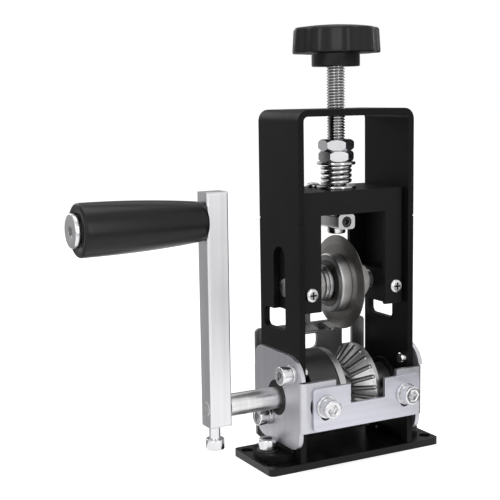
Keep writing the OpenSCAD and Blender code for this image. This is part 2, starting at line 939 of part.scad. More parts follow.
// A prong of the lip from one x to another: a round nose, and a radius at each front corner
module prong(from, to, left_r, right_r) {
    outer_r = lip_fall + plate_t;
    nose_r = plate_t / 2;
    nose_y = bracket_y - lip_reach;
    nose_z = rear_high - lip_fall * lip_slope_share - nose_r;
    intersection() {
        sheet_yz(from - over, to - from + over * 2)
        polygon(concat(
            [[bracket_y + plate_t, rear_high - outer_r], [bracket_y, rear_high - outer_r]],
            arc(bracket_y - lip_fall, rear_high - outer_r, lip_fall, 0, 90),
            arc(nose_y + nose_r, nose_z, nose_r, 270, 90),
            arc(bracket_y - lip_fall, rear_high - outer_r, outer_r, 90, 0)
        ));
        translate([0, 0, rear_window_top])
        linear_extrude(outer_r + over)
        polygon(concat(
            [[to, bracket_y + plate_t], [from, bracket_y + plate_t]],
            arc(from + left_r, nose_y + left_r, left_r, 180, 270),
            arc(to - right_r, nose_y + right_r, right_r, 270, 360)
        ));
    }
}

module rear_screws() {
    color(bright_steel)
    mirror([0, 1, 0])
    guide_bolts(rear_face + washer_t)
    socket_screw(bolt_d, washer_t + plate_t + bracket_t, bolt_head_d, bolt_head_h);
}

module rear_washers() {
    color(satin_steel)
    mirror([0, 1, 0])
    guide_bolts(rear_face)
    ring(washer_t, washer_d / 2, bolt_d / 2 + fit_clear);
}

// Crank shaft: its turned end fits the crank arm, which sits against its shoulder
module drive_shaft() {
    shaft_len = arm_left + bracket_x + shaft_out;
    color(bright_steel)
    along_x(-arm_left, drive_z)
    rotate_extrude($fn = round_fn)
    polygon([
        [0, 0], [shaft_end_d / 2 - edge_chamfer, 0], [shaft_end_d / 2, edge_chamfer],
        [shaft_end_d / 2, arm_w + face_gap], [shaft_d / 2, arm_w + face_gap],
        [shaft_d / 2, shaft_len - edge_chamfer], [shaft_d / 2 - edge_chamfer, shaft_len],
        [0, shaft_len]
    ]);
}

// One flank's tooth spaces about Z: side is 1 for the flank that opens towards +Z
module tooth_spaces(side) {
    lift = tooth_cut_r * tooth_lift_share;
    nose = flank_len * tooth_nose_share - sqrt(pow(tooth_cut_r, 2) - pow(lift, 2));
    turn_share = tooth_turn_shares[side > 0 ? 1 : 0];
    for (i = [0 : tooth_count - 1])
    rotate((i + turn_share) * 360 / tooth_count)
    translate([valley_r, 0, groove_x])
    rotate([0, side > 0 ? 90 - flank_angle : 90 + flank_angle, 0])
    translate([side * -lift, 0, nose])
    rotate([0, side * -tooth_sink, 0]) {
        translate([0, 0, flank_len * tooth_low_share - nose])
        cylinder(h = nose - flank_len * tooth_low_share, r = tooth_cut_r, $fn = 24);
        sphere(r = tooth_cut_r, $fn = 16);
    }
}

module feed_roller() {
    color(satin_steel)
    along_x(0, drive_z)
    difference() {
        rotate_extrude($fn = round_fn)
        polygon([
            [shaft_bore_r, -roller_x], [core_r, -roller_x], [core_r, band_x],
            [roller_r, band_x], [roller_r, groove_x - groove_half],
            [valley_r, groove_x], [roller_r, groove_x + groove_half], [roller_r, land_x],
            [hub_r, land_x], [hub_r, roller_x], [shaft_bore_r, roller_x]
        ]);
        tooth_spaces(1);
        tooth_spaces(-1);
        translate([0, 0, hub_screw_x])
        rotate([-90, 0, 0])
        cylinder(h = hub_r + over, r = hub_screw_d / 2 + fit_clear, $fn = round_fn);
    }
}

module roller_sleeve() {
    length = roller_x + band_x - face_gap;
    color(black_plastic)
    along_x(-roller_x, drive_z)
    rotate_extrude($fn = round_fn)
    polygon([
        [core_r + fit_clear, 0], [roller_r - rim_chamfer, 0], [roller_r, rim_chamfer],
        [roller_r, length], [core_r + fit_clear, length]
    ]);
}

module hub_set_screw() {
    color(dark_steel)
    translate([hub_screw_x, hub_r - edge_chamfer, drive_z])
    rotate([-90, 0, 0])
    set_screw(hub_screw_d, hub_r - edge_chamfer - shaft_d / 2 - face_gap);
}

// Crank arm: a square bar with every long edge and end edge rounded
module crank_arm() {
    low = drive_z - arm_bottom;
    high = grip_z + arm_top;
    mid_x = -(arm_right + arm_left) / 2;
    color(satin_steel)
    difference() {
        intersection() {
            translate([mid_x, 0, low])
            linear_extrude(high - low)
            polygon(round_rect(arm_w, arm_d, arm_edge_r));
            sheet_yz(-arm_left, arm_w)
            translate([0, (low + high) / 2])
            polygon(round_rect(arm_d, high - low, arm_edge_r));
        }
        along_x(-arm_left - over, drive_z)
        cylinder(h = arm_w + over * 2, r = shaft_end_d / 2 + fit_clear, $fn = round_fn);
        along_x(-arm_left - over, grip_z)
        cylinder(h = over + arm_w * bolt_seat_share, r = grip_bolt_d / 2 + fit_clear, $fn = round_fn);
        translate([clamp_x, 0, low - over])
        cylinder(h = arm_bottom + over, r = bolt_d / 2 + fit_clear, $fn = round_fn);
    }
}

module clamp_screw() {
    low = drive_z - arm_bottom;
    color(bright_steel)
    translate([clamp_x, 0, low - clamp_show])
    rotate([180, 0, 0])
    socket_screw(
        bolt_d, clamp_show + arm_bottom - shaft_end_d / 2 - face_gap, bolt_head_d, bolt_head_h
    );
}

module grip_bolt() {
    color(bright_steel)
    along_x(-grip_end - turn_gap, grip_z)
    rotate([180, 0, 0])
    socket_screw(
        grip_bolt_d, grip_end + turn_gap - arm_left + arm_w * bolt_seat_share - face_gap,
        grip_head_d, grip_head_t
    );
}

// Radius of the grip at a share of its length from the arm
function grip_radius(share) = grip_neck_r + (grip_r - grip_neck_r) * (1 - pow(1 - share, grip_swell));

module grip() {
    bore_r = grip_bolt_d / 2 + run_clear;
    body = grip_len - grip_edge_r;
    color(black_plastic)
    along_x(-grip_start, grip_z)
    rotate([180, 0, 0])
    rotate_extrude($fn = round_fn)
    polygon(concat(
        [[bore_r, 0]],
        [for (i = [0 : grip_rings])
            let (share = i / grip_rings)
            [grip_radius(share), body * share]],
        arc(grip_r - grip_edge_r, body, grip_edge_r, 0, 90),
        [[bore_r, grip_len]]
    ));
}

// Carriage shell: a sheet box with a roof, open below, with an arched opening front and back
module carriage_shell() {
    depth = carriage_front + carriage_back;
    mid_y = (carriage_back - carriage_front) / 2;
    inner = carriage_t * 2;
    color(black_paint)
    difference() {
        union() {
            difference() {
                translate([0, mid_y, carriage_low])
                linear_extrude(carriage_h)
                polygon(round_rect(carriage_x * 2, depth, carriage_edge_r));
                translate([-block_x, mid_y - depth / 2 + carriage_t, carriage_low - over])
                cube([block_x * 2, depth - inner, carriage_h - carriage_t + over]);
            }
            translate([
                -roof_tab_w / 2, carriage_back - carriage_t - roof_tab_d, carriage_roof - carriage_t
            ])
            cube([roof_tab_w, roof_tab_d + carriage_t / 2, inner - carriage_t / 2]);
        }
        translate([-open_x, -frame_y - over, carriage_low - over])
        cube([open_x * 2, frame_d + over * 2, open_top - carriage_low + over]);
        translate([0, 0, carriage_roof - over])
        cylinder(h = carriage_t + over * 2, r = screw_hole_r, $fn = round_fn);
        along_x(-carriage_x - over, axle_z)
        cylinder(h = (carriage_x + over) * 2, r = axle_d / 2 + fit_clear, $fn = round_fn);
        leg_bolts()
        translate([0, 0, -carriage_t - over])
        cylinder(h = carriage_t + over * 2, r = cross_d / 2 + fit_clear, $fn = round_fn);
        for (x = [-roof_screw_x, roof_screw_x])
        translate([x, roof_screw_y, carriage_roof - carriage_t - over])
        cylinder(h = carriage_t * 2 + over * 2, r = cross_d / 2 + fit_clear, $fn = round_fn);
    }
}

// The places of the two cross recess screws on the carriage's front legs
module leg_bolts() {
    for (x = [-leg_screw_x, leg_screw_x])
    translate([x, -carriage_front, leg_screw_z])
    rotate([90, 0, 0])
    children();
}

module leg_screws() {
    color(bright_steel)
    leg_bolts()
    cross_screw();
}

module roof_screws() {
    color(bright_steel)
    for (x = [-roof_screw_x, roof_screw_x])
    translate([x, roof_screw_y, carriage_high])
    cross_screw();
}

module axle_blocks() {
    color(dark_steel)
    difference() {
        for (side = [-1, 1])
        translate([
            side * (block_x - block_w / 2) - block_w / 2, -block_front, carriage_low + block_lift
        ])
        cube([block_w, block_d, block_h]);
        along_x(-carriage_x - over, axle_z)
        cylinder(h = (carriage_x + over) * 2, r = axle_d / 2 + fit_clear, $fn = round_fn);
        leg_bolts()
        translate([0, 0, -cross_len - over])
        cylinder(h = cross_len + over * 2, r = cross_d / 2 + fit_clear, $fn = round_fn);
    }
}

module blade_axle() {
    color(satin_steel)
    along_x(-axle_end, axle_z)
    cylinder(h = axle_end * 2, d = axle_d, $fn = round_fn);
}

module axle_nuts() {
    color(satin_steel)
    for (x = [left_nut_x, right_nut_x])
    along_x(x, axle_z)
    rotate(30)
    hex_nut(axle_nut_t, axle_d / 2 + fit_clear);
}

module axle_washers() {
    color(bright_steel) {
        along_x(left_washer_x, axle_z)
        ring(axle_washer_t, axle_washer_d / 2 - edge_chamfer, axle_d / 2 + fit_clear);
        along_x(left_spacer_x - axle_washer_t, axle_z)
        ring(axle_washer_t, axle_washer_d / 2, axle_d / 2 + fit_clear);
    }
}

module axle_spacers() {
    color(dark_steel) {
        along_x(left_spacer_x, axle_z)
        ring(left_spacer_w, spacer_r, axle_d / 2 + fit_clear);
        along_x(race_right, axle_z)
        ring(right_spacer_w, spacer_r, axle_d / 2 + fit_clear);
    }
}

// Inner race of the blade's bearing: it stays on the axle
module bearing_race() {
    color(bright_steel)
    along_x(race_left, axle_z)
    ring(race_right - race_left, race_r, axle_d / 2 + fit_clear);
}

// Outer race and seals of the blade's bearing: they turn with the blade
module blade_bearing() {
    color(dark_steel)
    along_x(ring_left, axle_z)
    ring(blade_right - ring_left, bearing_d / 2, race_r + turn_gap);
}

// Ring beside the blade, on the bearing
module blade_ring() {
    bore_r = bearing_d / 2 + fit_clear;
    color(satin_steel)
    along_x(ring_left, axle_z)
    rotate_extrude($fn = round_fn)
    polygon([
        [bore_r, 0], [ring_r - ring_chamfer, 0], [ring_r, ring_chamfer],
        [ring_r, ring_w], [bore_r, ring_w]
    ]);
}

// Round blade: ground down to its edge on both sides
module blade() {
    bore_r = bearing_d / 2 + fit_clear;
    color(blade_steel)
    along_x(blade_left, axle_z)
    rotate_extrude($fn = round_fn * 2)
    polygon([
        [bore_r, 0], [blade_r - bevel_in, 0],
        [blade_r, blade_t * edge_share - edge_w / 2], [blade_r, blade_t * edge_share + edge_w / 2],
        [blade_r - bevel_in / 2, blade_t], [bore_r, blade_t]
    ]);
}

module lower_washer() {
    color(bright_steel)
    translate([0, 0, carriage_high])
    ring(thin_t, lower_washer_d / 2, washer_hole_r);
}

module upper_washer() {
    color(bright_steel)
    translate([0, 0, stack_spring])
    ring(thin_t, upper_washer_d / 2, washer_hole_r);
}

// One ring of the wire's path: its middle at an angle round the coil and a height, and its tilt,
// 0 where the wire stands upright and 90 where it runs round the coil
bend_turn = spring_bend / spring_r * 180 / PI;
coil_turn = 360 * spring_turns;
wire_path = concat(
    [[0, 0, 0], [0, wire_d, 0]],
    [for (i = [1 : bend_steps - 1])
        let (a = 90 * i / bend_steps)
        [bend_turn * (1 - cos(a)), wire_d + spring_bend * sin(a), a]],
    [for (i = [0 : curl_rings * spring_turns])
        [
            bend_turn + coil_turn * i / (curl_rings * spring_turns),
            spring_low + spring_rise * i / (curl_rings * spring_turns), 90
        ]],
    [for (i = [1 : bend_steps])
        let (a = 90 * i / bend_steps)
        [
            bend_turn + coil_turn + bend_turn * sin(a),
            spring_h - spring_low + spring_bend * (1 - cos(a)), 90 - a
        ]],
    [[bend_turn * 2 + coil_turn, spring_h, 0]]
);
function wire_middle(p) = [spring_r * cos(p[0]), spring_r * sin(p[0]), p[1]];
function wire_ring(p) =
    [for (s = [0 : wire_sides - 1])
        let (a = 360 * s / wire_sides, out = wire_d / 2 * cos(a), side = wire_d / 2 * sin(a))
        [
            (spring_r + out) * cos(p[0]) - side * cos(p[2]) * sin(p[0]),
            (spring_r + out) * sin(p[0]) + side * cos(p[2]) * cos(p[0]),
            p[1] - side * sin(p[2])
        ]];
wire_gap = min([
    for (i = [0 : len(wire_path) - 1], j = [0 : len(wire_path) - 1])
    if (j - i >= curl_rings - 2)
    norm(wire_middle(wire_path[i]) - wire_middle(wire_path[j])) - wire_d
]);

module spring() {
    points = [for (p = wire_path) each wire_ring(p)];
    last = len(wire_path) - 1;
    echo(str("Least gap between the spring's curls: ", wire_gap));
    color(bright_steel)
    translate([0, 0, stack_washer + face_gap])
    polyhedron(
        points = points,
        faces = concat(
            [[for (s = [0 : wire_sides - 1]) s]],
            [for (r = [0 : last - 1], s = [0 : wire_sides - 1])
                let (a = r * wire_sides + s, b = r * wire_sides + (s + 1) % wire_sides)
                each [[a, a + wire_sides, b + wire_sides], [a, b + wire_sides, b]]],
            [[for (s = [wire_sides - 1 : -1 : 0]) last * wire_sides + s]]
        )
    );
}

module lead_screw() {
    color(bright_steel)
    translate([0, 0, screw_low])
    cylinder(h = head_low + knob_insert - knob_hub_h - screw_low, d = screw_d, $fn = round_fn);
}

module jam_nuts() {
    color(satin_steel) {
        translate([0, 0, stack_jam])
        hex_nut(jam_t, screw_fit_r);
        translate([0, 0, stack_mid])
        rotate(upper_nut_turn)
        hex_nut(jam_t, screw_fit_r);
    }
}

// Outline of the knob's head, drawn in by an inset
function knob_outline(inset) =
    [for (i = [0 : knob_lobes * lobe_points - 1])
        let (
            a = 360 * i / (knob_lobes * lobe_points),
            r = knob_r - inset - knob_hollow * (1 - cos(knob_lobes * a)) / 2
        )
        [r * cos(a + knob_phase), r * sin(a + knob_phase)]];

// Knob: a lobed head, slightly tapered and domed, on a round hub
module knob() {
    levels = [
        [knob_edge * 0.6, 0], [0, knob_edge * 0.6],
        [knob_draft, knob_h - knob_dome - knob_edge],
        [knob_draft + knob_edge * 0.35, knob_h - knob_dome - knob_edge * 0.3],
        [knob_draft + knob_edge, knob_h - knob_dome],
        [knob_r * (1 - knob_rim_share), knob_h - knob_dome * 0.7]
    ];
    count = knob_lobes * lobe_points;
    top = len(levels) - 1;
    points = concat(
        [for (l = levels) each [for (p = knob_outline(l[0])) [p[0], p[1], l[1]]]],
        [[0, 0, 0], [0, 0, knob_h]]
    );
    color(black_plastic)
    difference() {
        union() {
            translate([0, 0, head_low])
            polyhedron(
                points = points,
                faces = concat(
                    [for (s = [0 : count - 1]) [s, (s + 1) % count, count * (top + 1)]],
                    [for (r = [0 : top - 1], s = [0 : count - 1])
                        let (a = r * count + s, b = r * count + (s + 1) % count)
                        each [[a, a + count, b + count], [a, b + count, b]]],
                    [for (s = [0 : count - 1])
                        [top * count + s, count * (top + 1) + 1, top * count + (s + 1) % count]]
                )
            );
            translate([0, 0, knob_low])
            cylinder(h = knob_hub_h + edge_chamfer, r = knob_hub_r, $fn = round_fn);
        }
        translate([0, 0, knob_low - over])
        cylinder(h = knob_insert + over, r = screw_fit_r, $fn = round_fn);
    }
}

// Sleeve between the stop block and the carriage roof: it lifts the carriage
module stop_sleeve() {
    color(satin_steel)
    translate([0, 0, stop_top])
    ring(block_drop - face_gap, stop_sleeve_r, screw_fit_r);
}

module stop_block() {
    mid_z = stop_top - stop_h / 2;
    color(bright_steel)
    difference() {
        sheet_xz(-stop_len / 2, stop_len)
        translate([0, mid_z])
        polygon(round_rect(stop_w, stop_h, stop_corner_r));
        translate([0, 0, stop_top - stop_h - over])
        cylinder(h = stop_h + over * 2, r = screw_fit_r, $fn = round_fn);
        translate([0, 0, mid_z])
        rotate([90, 0, 0])
        cylinder(h = stop_len, r = bolt_d / 2 + fit_clear, $fn = round_fn);
    }
}

module stop_set_screw() {
    color(dark_steel)
    translate([0, edge_chamfer / 2 - stop_len / 2, stop_top - stop_h / 2])
    rotate([90, 0, 0])
    set_screw(bolt_d, stop_len / 2 - edge_chamfer / 2 - screw_d / 2 - face_gap);
}

base_plate();
frame_bracket();
foot_screws();
foot_washers();
left_bracket();
right_bracket();
bracket_screws();
bracket_washers();
left_bush();
right_bush();
guide_plate();
guide_screws();
guide_washers();
rear_guide();
rear_screws();
rear_washers();
drive_shaft();
feed_roller();
roller_sleeve();
hub_set_screw();
crank_arm();
clamp_screw();
grip_bolt();
grip();
carriage_shell();
axle_blocks();
leg_screws();
roof_screws();
blade_axle();
axle_nuts();
axle_washers();
axle_spacers();
blade();
blade_ring();
blade_bearing();
bearing_race();
lower_washer();
spring();
upper_washer();
lead_screw();
jam_nuts();
knob();
stop_sleeve();
stop_block();
stop_set_screw();
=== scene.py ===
# %% [markdown]
# A hand crank wire stripper, dressed for its portrait.
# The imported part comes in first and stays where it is: it is the skeleton that every piece here
# must fit. Sheet metal, blocks and rings keep their shape and gain soft edges, while nuts, most
# screws and the turned pieces are modelled again with chamfers, sockets, threads and coils.

# %% Load the part and note its size
import json
from math import atan2, ceil, cos, floor, pi, radians, sin

import bmesh
import bpy
from mathutils import Matrix, Vector


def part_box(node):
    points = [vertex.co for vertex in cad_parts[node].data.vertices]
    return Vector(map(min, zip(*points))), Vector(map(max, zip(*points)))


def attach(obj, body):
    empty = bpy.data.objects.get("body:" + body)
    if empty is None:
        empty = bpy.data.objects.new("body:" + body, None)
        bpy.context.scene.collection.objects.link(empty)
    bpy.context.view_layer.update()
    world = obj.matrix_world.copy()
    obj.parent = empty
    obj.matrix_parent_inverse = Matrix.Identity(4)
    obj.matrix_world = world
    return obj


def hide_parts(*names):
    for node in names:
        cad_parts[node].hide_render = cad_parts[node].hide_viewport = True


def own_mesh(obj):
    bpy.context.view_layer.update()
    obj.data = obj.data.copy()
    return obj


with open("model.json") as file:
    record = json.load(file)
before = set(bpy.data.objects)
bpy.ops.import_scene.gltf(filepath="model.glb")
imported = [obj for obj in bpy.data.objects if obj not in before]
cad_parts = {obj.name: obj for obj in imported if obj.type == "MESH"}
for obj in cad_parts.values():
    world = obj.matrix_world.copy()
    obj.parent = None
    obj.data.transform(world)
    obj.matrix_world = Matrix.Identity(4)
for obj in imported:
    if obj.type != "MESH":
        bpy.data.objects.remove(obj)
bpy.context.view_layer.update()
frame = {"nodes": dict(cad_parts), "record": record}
MM = 0.001
print("CAD nodes:", len(frame["nodes"]))

# %% [markdown]
# The camera stands low and to the left, on a fairly long lens, so the upright frame keeps its
# parallel sides. Its axes are worked out from a compass angle, a tilt and a small roll: turning
# the same three numbers by hand is how a photographer would level it.

# %% Camera
YAW, PITCH, ROLL = radians(28.18), radians(8.10), radians(-0.88)
CAMERA_AT = Vector((-0.3240, -0.5039, 0.1995))
LENS = 78.88

back = Vector((-sin(YAW) * cos(PITCH), -cos(YAW) * cos(PITCH), sin(PITCH)))
right = Vector((cos(YAW), -sin(YAW), 0))
up = back.cross(right)
rolled_right = cos(ROLL) * right + sin(ROLL) * up
rolled_up = cos(ROLL) * up - sin(ROLL) * right
turn = Matrix((rolled_right, rolled_up, back)).transposed().to_4x4()


def add_object(name, data):
    """An object in the scene for a mesh, a lamp or a camera."""
    made = bpy.data.objects.new(name, data)
    bpy.context.scene.collection.objects.link(made)
    return made


camera_data = bpy.data.cameras.new("portrait_camera")
camera_data.lens = LENS
camera_data.sensor_width = 36
camera_data.clip_end = 20
camera = add_object("portrait_camera", camera_data)
camera.matrix_world = Matrix.Translation(CAMERA_AT) @ turn
bpy.context.scene.camera = camera
bpy.context.scene.view_settings.view_transform = "Standard"
print("Camera distance:", round(CAMERA_AT.length, 3), "m")

# %% [markdown]
# The room is plain. What the camera, the polished steel and any clear part see of it is white,
# while the light that it sheds on the object is weaker, so that black paint stays black. Five
# large soft lamps stand where a photographer would put softboxes: they draw the long bright
# bands on the knob, the grip and the crank.

# %% World
BACKDROP = (1.0, 1.0, 1.0, 1.0)
ROOM_LIGHT = 0.45


def wire(tree, start, end):
    """Joins an output socket to an input socket."""
    tree.links.new(start, end)


def new_node(tree, kind, inputs=None, **settings):
    """A shader node of a kind, with its settings and the values of some inputs."""
    node = tree.nodes.new("ShaderNode" + kind)
    for setting, value in settings.items():
        setattr(node, setting, value)
    for slot, value in (inputs or {}).items():
        node.inputs[slot].default_value = value
    return node


def arithmetic(tree, operation, first, second=None):
    """One step of arithmetic on sockets or numbers."""
    step = new_node(tree, "Math", operation=operation)
    for slot, value in enumerate((first, second)):
        if isinstance(value, float):
            step.inputs[slot].default_value = value
        elif value is not None:
            wire(tree, value, step.inputs[slot])
    return step.outputs[0]


def seen_rays(tree):
    """A value that is 1 for camera, glossy and transmission rays, and 0 for the rest."""
    path = new_node(tree, "LightPath")
    camera_or_glossy = arithmetic(
        tree, "MAXIMUM", path.outputs["Is Camera Ray"], path.outputs["Is Glossy Ray"]
    )
    return arithmetic(tree, "MAXIMUM", camera_or_glossy, path.outputs["Is Transmission Ray"])


world = bpy.data.worlds.new("plain_room")
world.use_nodes = True
bpy.context.scene.world = world
room = world.node_tree
room.nodes.clear()
shed = new_node(room, "Background", {"Color": BACKDROP, "Strength": ROOM_LIGHT})
shown = new_node(room, "Background", {"Color": BACKDROP, "Strength": 1.0})
either = new_node(room, "MixShader")
room_out = new_node(room, "OutputWorld")
wire(room, seen_rays(room), either.inputs[0])
wire(room, shed.outputs[0], either.inputs[1])
wire(room, shown.outputs[0], either.inputs[2])
wire(room, either.outputs[0], room_out.inputs["Surface"])
print("Room light:", ROOM_LIGHT)

# %% Floor
FLOOR_HALF = 8.0
FLOOR_GLOW = 0.66


def principled(made):
    """The Principled shader of a material."""
    return made.node_tree.nodes["Principled BSDF"]


def finish(name, metallic, specular=0.5):
    """A new material and its Principled shader."""
    made = bpy.data.materials.new(name)
    made.use_nodes = True
    shader = principled(made)
    shader.inputs["Metallic"].default_value = metallic
    shader.inputs["Specular IOR Level"].default_value = specular
    return made, shader


def mesh_from(bm, name):
    """Mesh data from a bmesh, which is used up."""
    data = bpy.data.meshes.new(name)
    bm.to_mesh(data)
    bm.free()
    return data


floor_mesh = bmesh.new()
bmesh.ops.create_grid(floor_mesh, x_segments=1, y_segments=1, size=FLOOR_HALF)
floor_object = add_object("studio_floor", mesh_from(floor_mesh, "studio_floor"))

floor_paint, matt = finish("pale_floor", 0.0, 0.1)
matt.inputs["Base Color"].default_value = (0.86, 0.86, 0.86, 1)
matt.inputs["Roughness"].default_value = 0.9
tree = floor_paint.node_tree
glow = new_node(tree, "Emission", {"Strength": FLOOR_GLOW})
both = new_node(tree, "AddShader")
pick = new_node(tree, "MixShader")
wire(tree, matt.outputs[0], both.inputs[0])
wire(tree, glow.outputs[0], both.inputs[1])
wire(tree, seen_rays(tree), pick.inputs[0])
wire(tree, matt.outputs[0], pick.inputs[1])
wire(tree, both.outputs[0], pick.inputs[2])
wire(tree, pick.outputs[0], tree.nodes["Material Output"].inputs["Surface"])
floor_object.data.materials.append(floor_paint)
print("Floor:", FLOOR_HALF * 2, "m square")

# %% Softboxes
AIM = Vector((0, 0, 0.10))


def softbox(name, place, width, height, watts):
    """A rectangular area lamp at a place, turned towards the middle of the object."""
    lamp = bpy.data.lights.new(name, "AREA")
    lamp.shape = "RECTANGLE"
    lamp.size = width
    lamp.size_y = height
    lamp.energy = watts
    hung = add_object(name, lamp)
    aim = (AIM - Vector(place)).to_track_quat("-Z", "Y").to_matrix().to_4x4()
    hung.matrix_world = Matrix.Translation(Vector(place)) @ aim


softbox("left_softbox", (-0.75, -0.55, 0.45), 0.25, 0.7, 1.6)
softbox("front_softbox", (0.10, -0.95, 0.35), 0.22, 0.8, 1.4)
softbox("right_softbox", (0.85, 0.05, 0.50), 0.25, 0.7, 1.2)
softbox("top_softbox", (-0.05, 0.05, 0.95), 0.6, 0.6, 1.6)
softbox("back_softbox", (-0.20, 0.90, 0.50), 0.7, 0.3, 1.0)
print("Softboxes: 5")

# %% [markdown]
# Chrome in an all white room has no shape, so a photographer hangs grey and black cards round the
# table and lays some on it. Only reflections show them. The ones at the back left and at the
# right darken the sides that turn away from the lamps, the ones on the table take the glare off
# the faces above them, and the narrow black one overhead draws the dark line along the top of the
# shaft.

# %% Cards
def card(name, place, width, height, level, towards=AIM):
    """A card of one grey at a place, turned towards a point and seen in reflections only."""
    paper, sheet = finish(name, 0.0, 0.0)
    sheet.inputs["Base Color"].default_value = (0, 0, 0, 1)
    sheet.inputs["Emission Color"].default_value = (level, level, level, 1)
    sheet.inputs["Emission Strength"].default_value = 1
    bm = bmesh.new()
    bmesh.ops.create_grid(bm, x_segments=1, y_segments=1, size=0.5)
    aim = (Vector(towards) - Vector(place)).to_track_quat("Z", "Y").to_matrix().to_4x4()
    sized = Matrix.Diagonal((width, height, 1, 1))
    bmesh.ops.transform(bm, matrix=Matrix.Translation(Vector(place)) @ aim @ sized, verts=bm.verts)
    data = mesh_from(bm, name)
    data.materials.append(paper)
    hung = add_object(name, data)
    hung.visible_camera = False
    hung.visible_diffuse = False
    hung.visible_shadow = False
    hung.visible_transmission = False


card("back_left_card", (-0.80, 1.05, 0.30), 1.3, 1.3, 0.46)
card("right_card", (1.25, 0.25, 0.30), 1.3, 1.3, 0.20)
card("overhead_card", (0.50, 0.19, 1.20), 1.8, 0.12, 0.0)
card("front_table_card", (0.30, -0.90, 0.002), 2.4, 1.3, 0.86, (0.30, -0.90, 1.0))
card("back_card", (0.55, 1.25, 0.30), 1.0, 1.4, 0.25)
card("left_table_card", (-0.88, 0.82, 0.002), 1.64, 1.57, 0.40, (-0.88, 0.82, 1.0))
card("right_table_card", (0.98, 0.50, 0.002), 1.8, 2.0, 0.17, (0.98, 0.50, 1.0))
print("Cards: 7")

# %% [markdown]
# A surface never has one flat tone. Four small recipes give the unevenness that the hand and the
# eye expect, and each is a node group, so that every finish can use it at its own scale: the fine
# skin of paint and moulded plastic, the straight lines that brushing leaves, the rings that a
# lathe leaves, and the faint smudges of handling. A fifth tells how far a point lies from the
# middle along an axis. Each group puts out plain values only. The material decides what they do to
# its colour, its roughness and its relief.

# %% Helper for shader groups
def new_group(name, inputs, outputs):
    """An empty shader group with float or vector inputs and float outputs."""
    group = bpy.data.node_groups.new(name, "ShaderNodeTree")
    for label, kind, value in inputs:
        socket = group.interface.new_socket(name=label, in_out="INPUT", socket_type=kind)
        socket.default_value = value
    for label in outputs:
        group.interface.new_socket(name=label, in_out="OUTPUT", socket_type="NodeSocketFloat")
    start = group.nodes.new("NodeGroupInput")
    end = group.nodes.new("NodeGroupOutput")
    return group, start, end


def rises(tree, value, low, high):
    """A mask that goes from 0 to 1 as a value goes from low to high."""
    span = new_node(tree, "MapRange")
    wire(tree, value, span.inputs["Value"])
    for label, limit in (("From Min", low), ("From Max", high)):
        if isinstance(limit, float):
            span.inputs[label].default_value = limit
        else:
            wire(tree, limit, span.inputs[label])
    return span.outputs[0]


# %% Group for the skin of paint and plastic
skin, start, end = new_group(
    "fine_skin",
    [("Scale", "NodeSocketFloat", 900.0)],
    ["Height", "Mottle"],
)
coordinates = new_node(skin, "TexCoord")
grain = new_node(skin, "TexNoise", {"Detail": 2})
patches = new_node(skin, "TexNoise", {"Scale": 45, "Detail": 3})
wire(skin, coordinates.outputs["Object"], grain.inputs["Vector"])
wire(skin, coordinates.outputs["Object"], patches.inputs["Vector"])
wire(skin, start.outputs["Scale"], grain.inputs["Scale"])
wire(skin, grain.outputs[0], end.inputs["Height"])
wire(skin, patches.outputs[0], end.inputs["Mottle"])
print("Group:", skin.name)

# %% Group for brushed lines
brushed, start, end = new_group(
    "brushed_lines",
    [("Stretch", "NodeSocketVector", (60, 1600, 1600))],
    ["Height", "Tone"],
)
coordinates = new_node(brushed, "TexCoord")
stretched = new_node(brushed, "VectorMath", operation="MULTIPLY")
lines = new_node(brushed, "TexNoise", {"Scale": 1, "Detail": 3})
tones = new_node(brushed, "TexNoise", {"Scale": 0.25, "Detail": 2})
wire(brushed, coordinates.outputs["Object"], stretched.inputs[0])
wire(brushed, start.outputs["Stretch"], stretched.inputs[1])
wire(brushed, stretched.outputs[0], lines.inputs["Vector"])
wire(brushed, stretched.outputs[0], tones.inputs["Vector"])
wire(brushed, lines.outputs[0], end.inputs["Height"])
wire(brushed, tones.outputs[0], end.inputs["Tone"])
print("Group:", brushed.name)

# %% Group for lathe rings
rings, start, end = new_group(
    "lathe_rings",
    [
        ("Centre", "NodeSocketVector", (0, 0, 0)),
        ("Axis", "NodeSocketVector", (0, 0, 1)),
        ("Scale", "NodeSocketFloat", 1500.0),
    ],
    ["Height", "Tone", "Radius", "Along"],
)
coordinates = new_node(rings, "TexCoord")
shifted = new_node(rings, "VectorMath", operation="SUBTRACT")
along = new_node(rings, "VectorMath", operation="DOT_PRODUCT")
axial = new_node(rings, "VectorMath", operation="SCALE")
radial = new_node(rings, "VectorMath", operation="SUBTRACT")
radius = new_node(rings, "VectorMath", operation="LENGTH")
cuts = new_node(rings, "TexNoise", {"Detail": 3}, noise_dimensions="1D")
broad = new_node(rings, "TexNoise", {"Scale": 350, "Detail": 2}, noise_dimensions="1D")
wire(rings, coordinates.outputs["Object"], shifted.inputs[0])
wire(rings, start.outputs["Centre"], shifted.inputs[1])
wire(rings, shifted.outputs[0], along.inputs[0])
wire(rings, start.outputs["Axis"], along.inputs[1])
wire(rings, start.outputs["Axis"], axial.inputs[0])
wire(rings, along.outputs["Value"], axial.inputs["Scale"])
wire(rings, shifted.outputs[0], radial.inputs[0])
wire(rings, axial.outputs[0], radial.inputs[1])
wire(rings, radial.outputs[0], radius.inputs[0])
where = arithmetic(rings, "ADD", radius.outputs["Value"], along.outputs["Value"])
wire(rings, where, cuts.inputs["W"])
wire(rings, start.outputs["Scale"], cuts.inputs["Scale"])
wire(rings, where, broad.inputs["W"])
wire(rings, cuts.outputs[0], end.inputs["Height"])
wire(rings, broad.outputs[0], end.inputs["Tone"])
wire(rings, radius.outputs["Value"], end.inputs["Radius"])
wire(rings, along.outputs["Value"], end.inputs["Along"])
print("Group:", rings.name)

